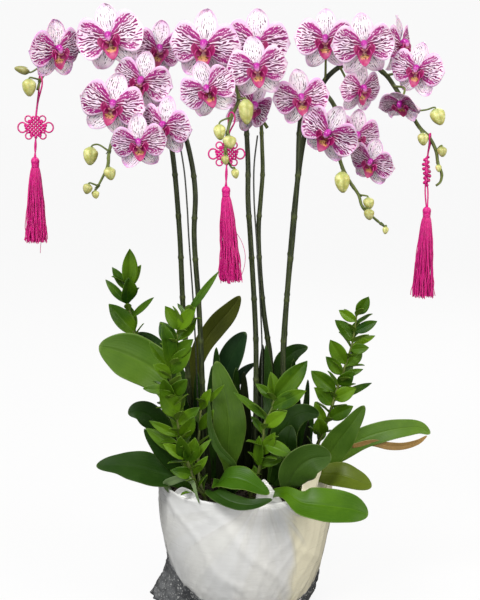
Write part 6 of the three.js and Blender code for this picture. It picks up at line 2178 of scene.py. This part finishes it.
strands = strand_tree()
print("strand tree:", len(strands.nodes), "nodes")

# %% [markdown]
# The head is a rounded cap with a cord wound round its neck. Silk is never quite tidy: a stray
# thread hangs beside the skirt of two of the tassels. Each is one thin tube along its own path.

# %% Tassels
TASSEL_HEAD = 14
HEAD_OUTLINE = [
    (0, 0.5), (1.6, 0.3), (3.6, -0.7), (5.3, -2.6), (6.2, -5.0), (6.2, -8.0), (5.2, -9.6),
    (5.0, -11.6), (5.6, -13), (5.4, -TASSEL_HEAD - 1), (0, -TASSEL_HEAD - 1),
]
BINDING_TURNS = 5
BINDING_RADIUS = 0.55
STRAY_RADIUS = 0.4


def head_shapes(head):
    """The rounded top of the tassel and the thread that binds its neck."""
    cap = turned(mm(HEAD_OUTLINE[::-1]), 32)
    angles = np.linspace(0, BINDING_TURNS * TURN, 120)
    wound = np.column_stack([5.3 * np.cos(angles), 5.3 * np.sin(angles), -9.4 - 2.6 * angles / angles[-1]])
    binding = tube(wound * MM, BINDING_RADIUS * MM, 6)
    return [moved(shape, np.eye(3), mm(head)) for shape in (cap, binding)]


def skirt_mesh(name, head, end, seed):
    """The hanging threads, moved to their place below the head."""
    top = head[2] - TASSEL_HEAD + 1
    mesh = grown(name, plain_mesh("start", [(0, 0, 0)]), strands, silk,
                 Length=(top - end[2]) * MM, Shift=(end[0] - head[0]) * MM, Seed=seed)
    coordinates = np.zeros(3 * len(mesh.vertices))
    mesh.vertices.foreach_get("co", coordinates)
    shifted = coordinates.reshape(-1, 3) + mm([head[0], head[1], top])
    mesh.vertices.foreach_set("co", shifted.ravel())
    return mesh


for number, (name, (spike, knot, head, end, turn)) in enumerate(ORNAMENTS.items()):
    shapes = head_shapes(head)
    if name in STRAY_THREADS:
        shapes.append(tube(smooth_path(STRAY_THREADS[name], 24) * MM, STRAY_RADIUS * MM, 6))
    piece(f"tassel_head_{name}", shapes, [silk], [f"tassel_{name}"], "silk")
    mesh = skirt_mesh(f"tassel_threads_{name}", head, end, number + 1)
    keep_piece(f"tassel_threads_{name}", mesh, [f"tassel_{name}"], "silk")
print("one skirt:", len(pieces["tassel_threads_left"][0].data.polygons), "faces")

# %% [markdown]
# Last comes the bookkeeping. The plant has no joints, so every piece rides on the root body. Each
# piece says which nodes of the frame it stands for and whose finish it takes; the nodes it stands for
# are hidden, and the triangles of every piece are counted.

# %% Tie the pieces to the frame and count the triangles
for made, replaced, finish_slot in pieces.values():
    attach(made, "root")
    if replaced:
        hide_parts(*replaced)

triangles = {}
for name, (made, replaced, finish_slot) in pieces.items():
    made.data.calc_loop_triangles()
    triangles[name] = len(made.data.loop_triangles)
largest = max(triangles, key=triangles.get)
print(len(pieces), "pieces,", sum(triangles.values()), "triangles; largest", largest, triangles[largest])
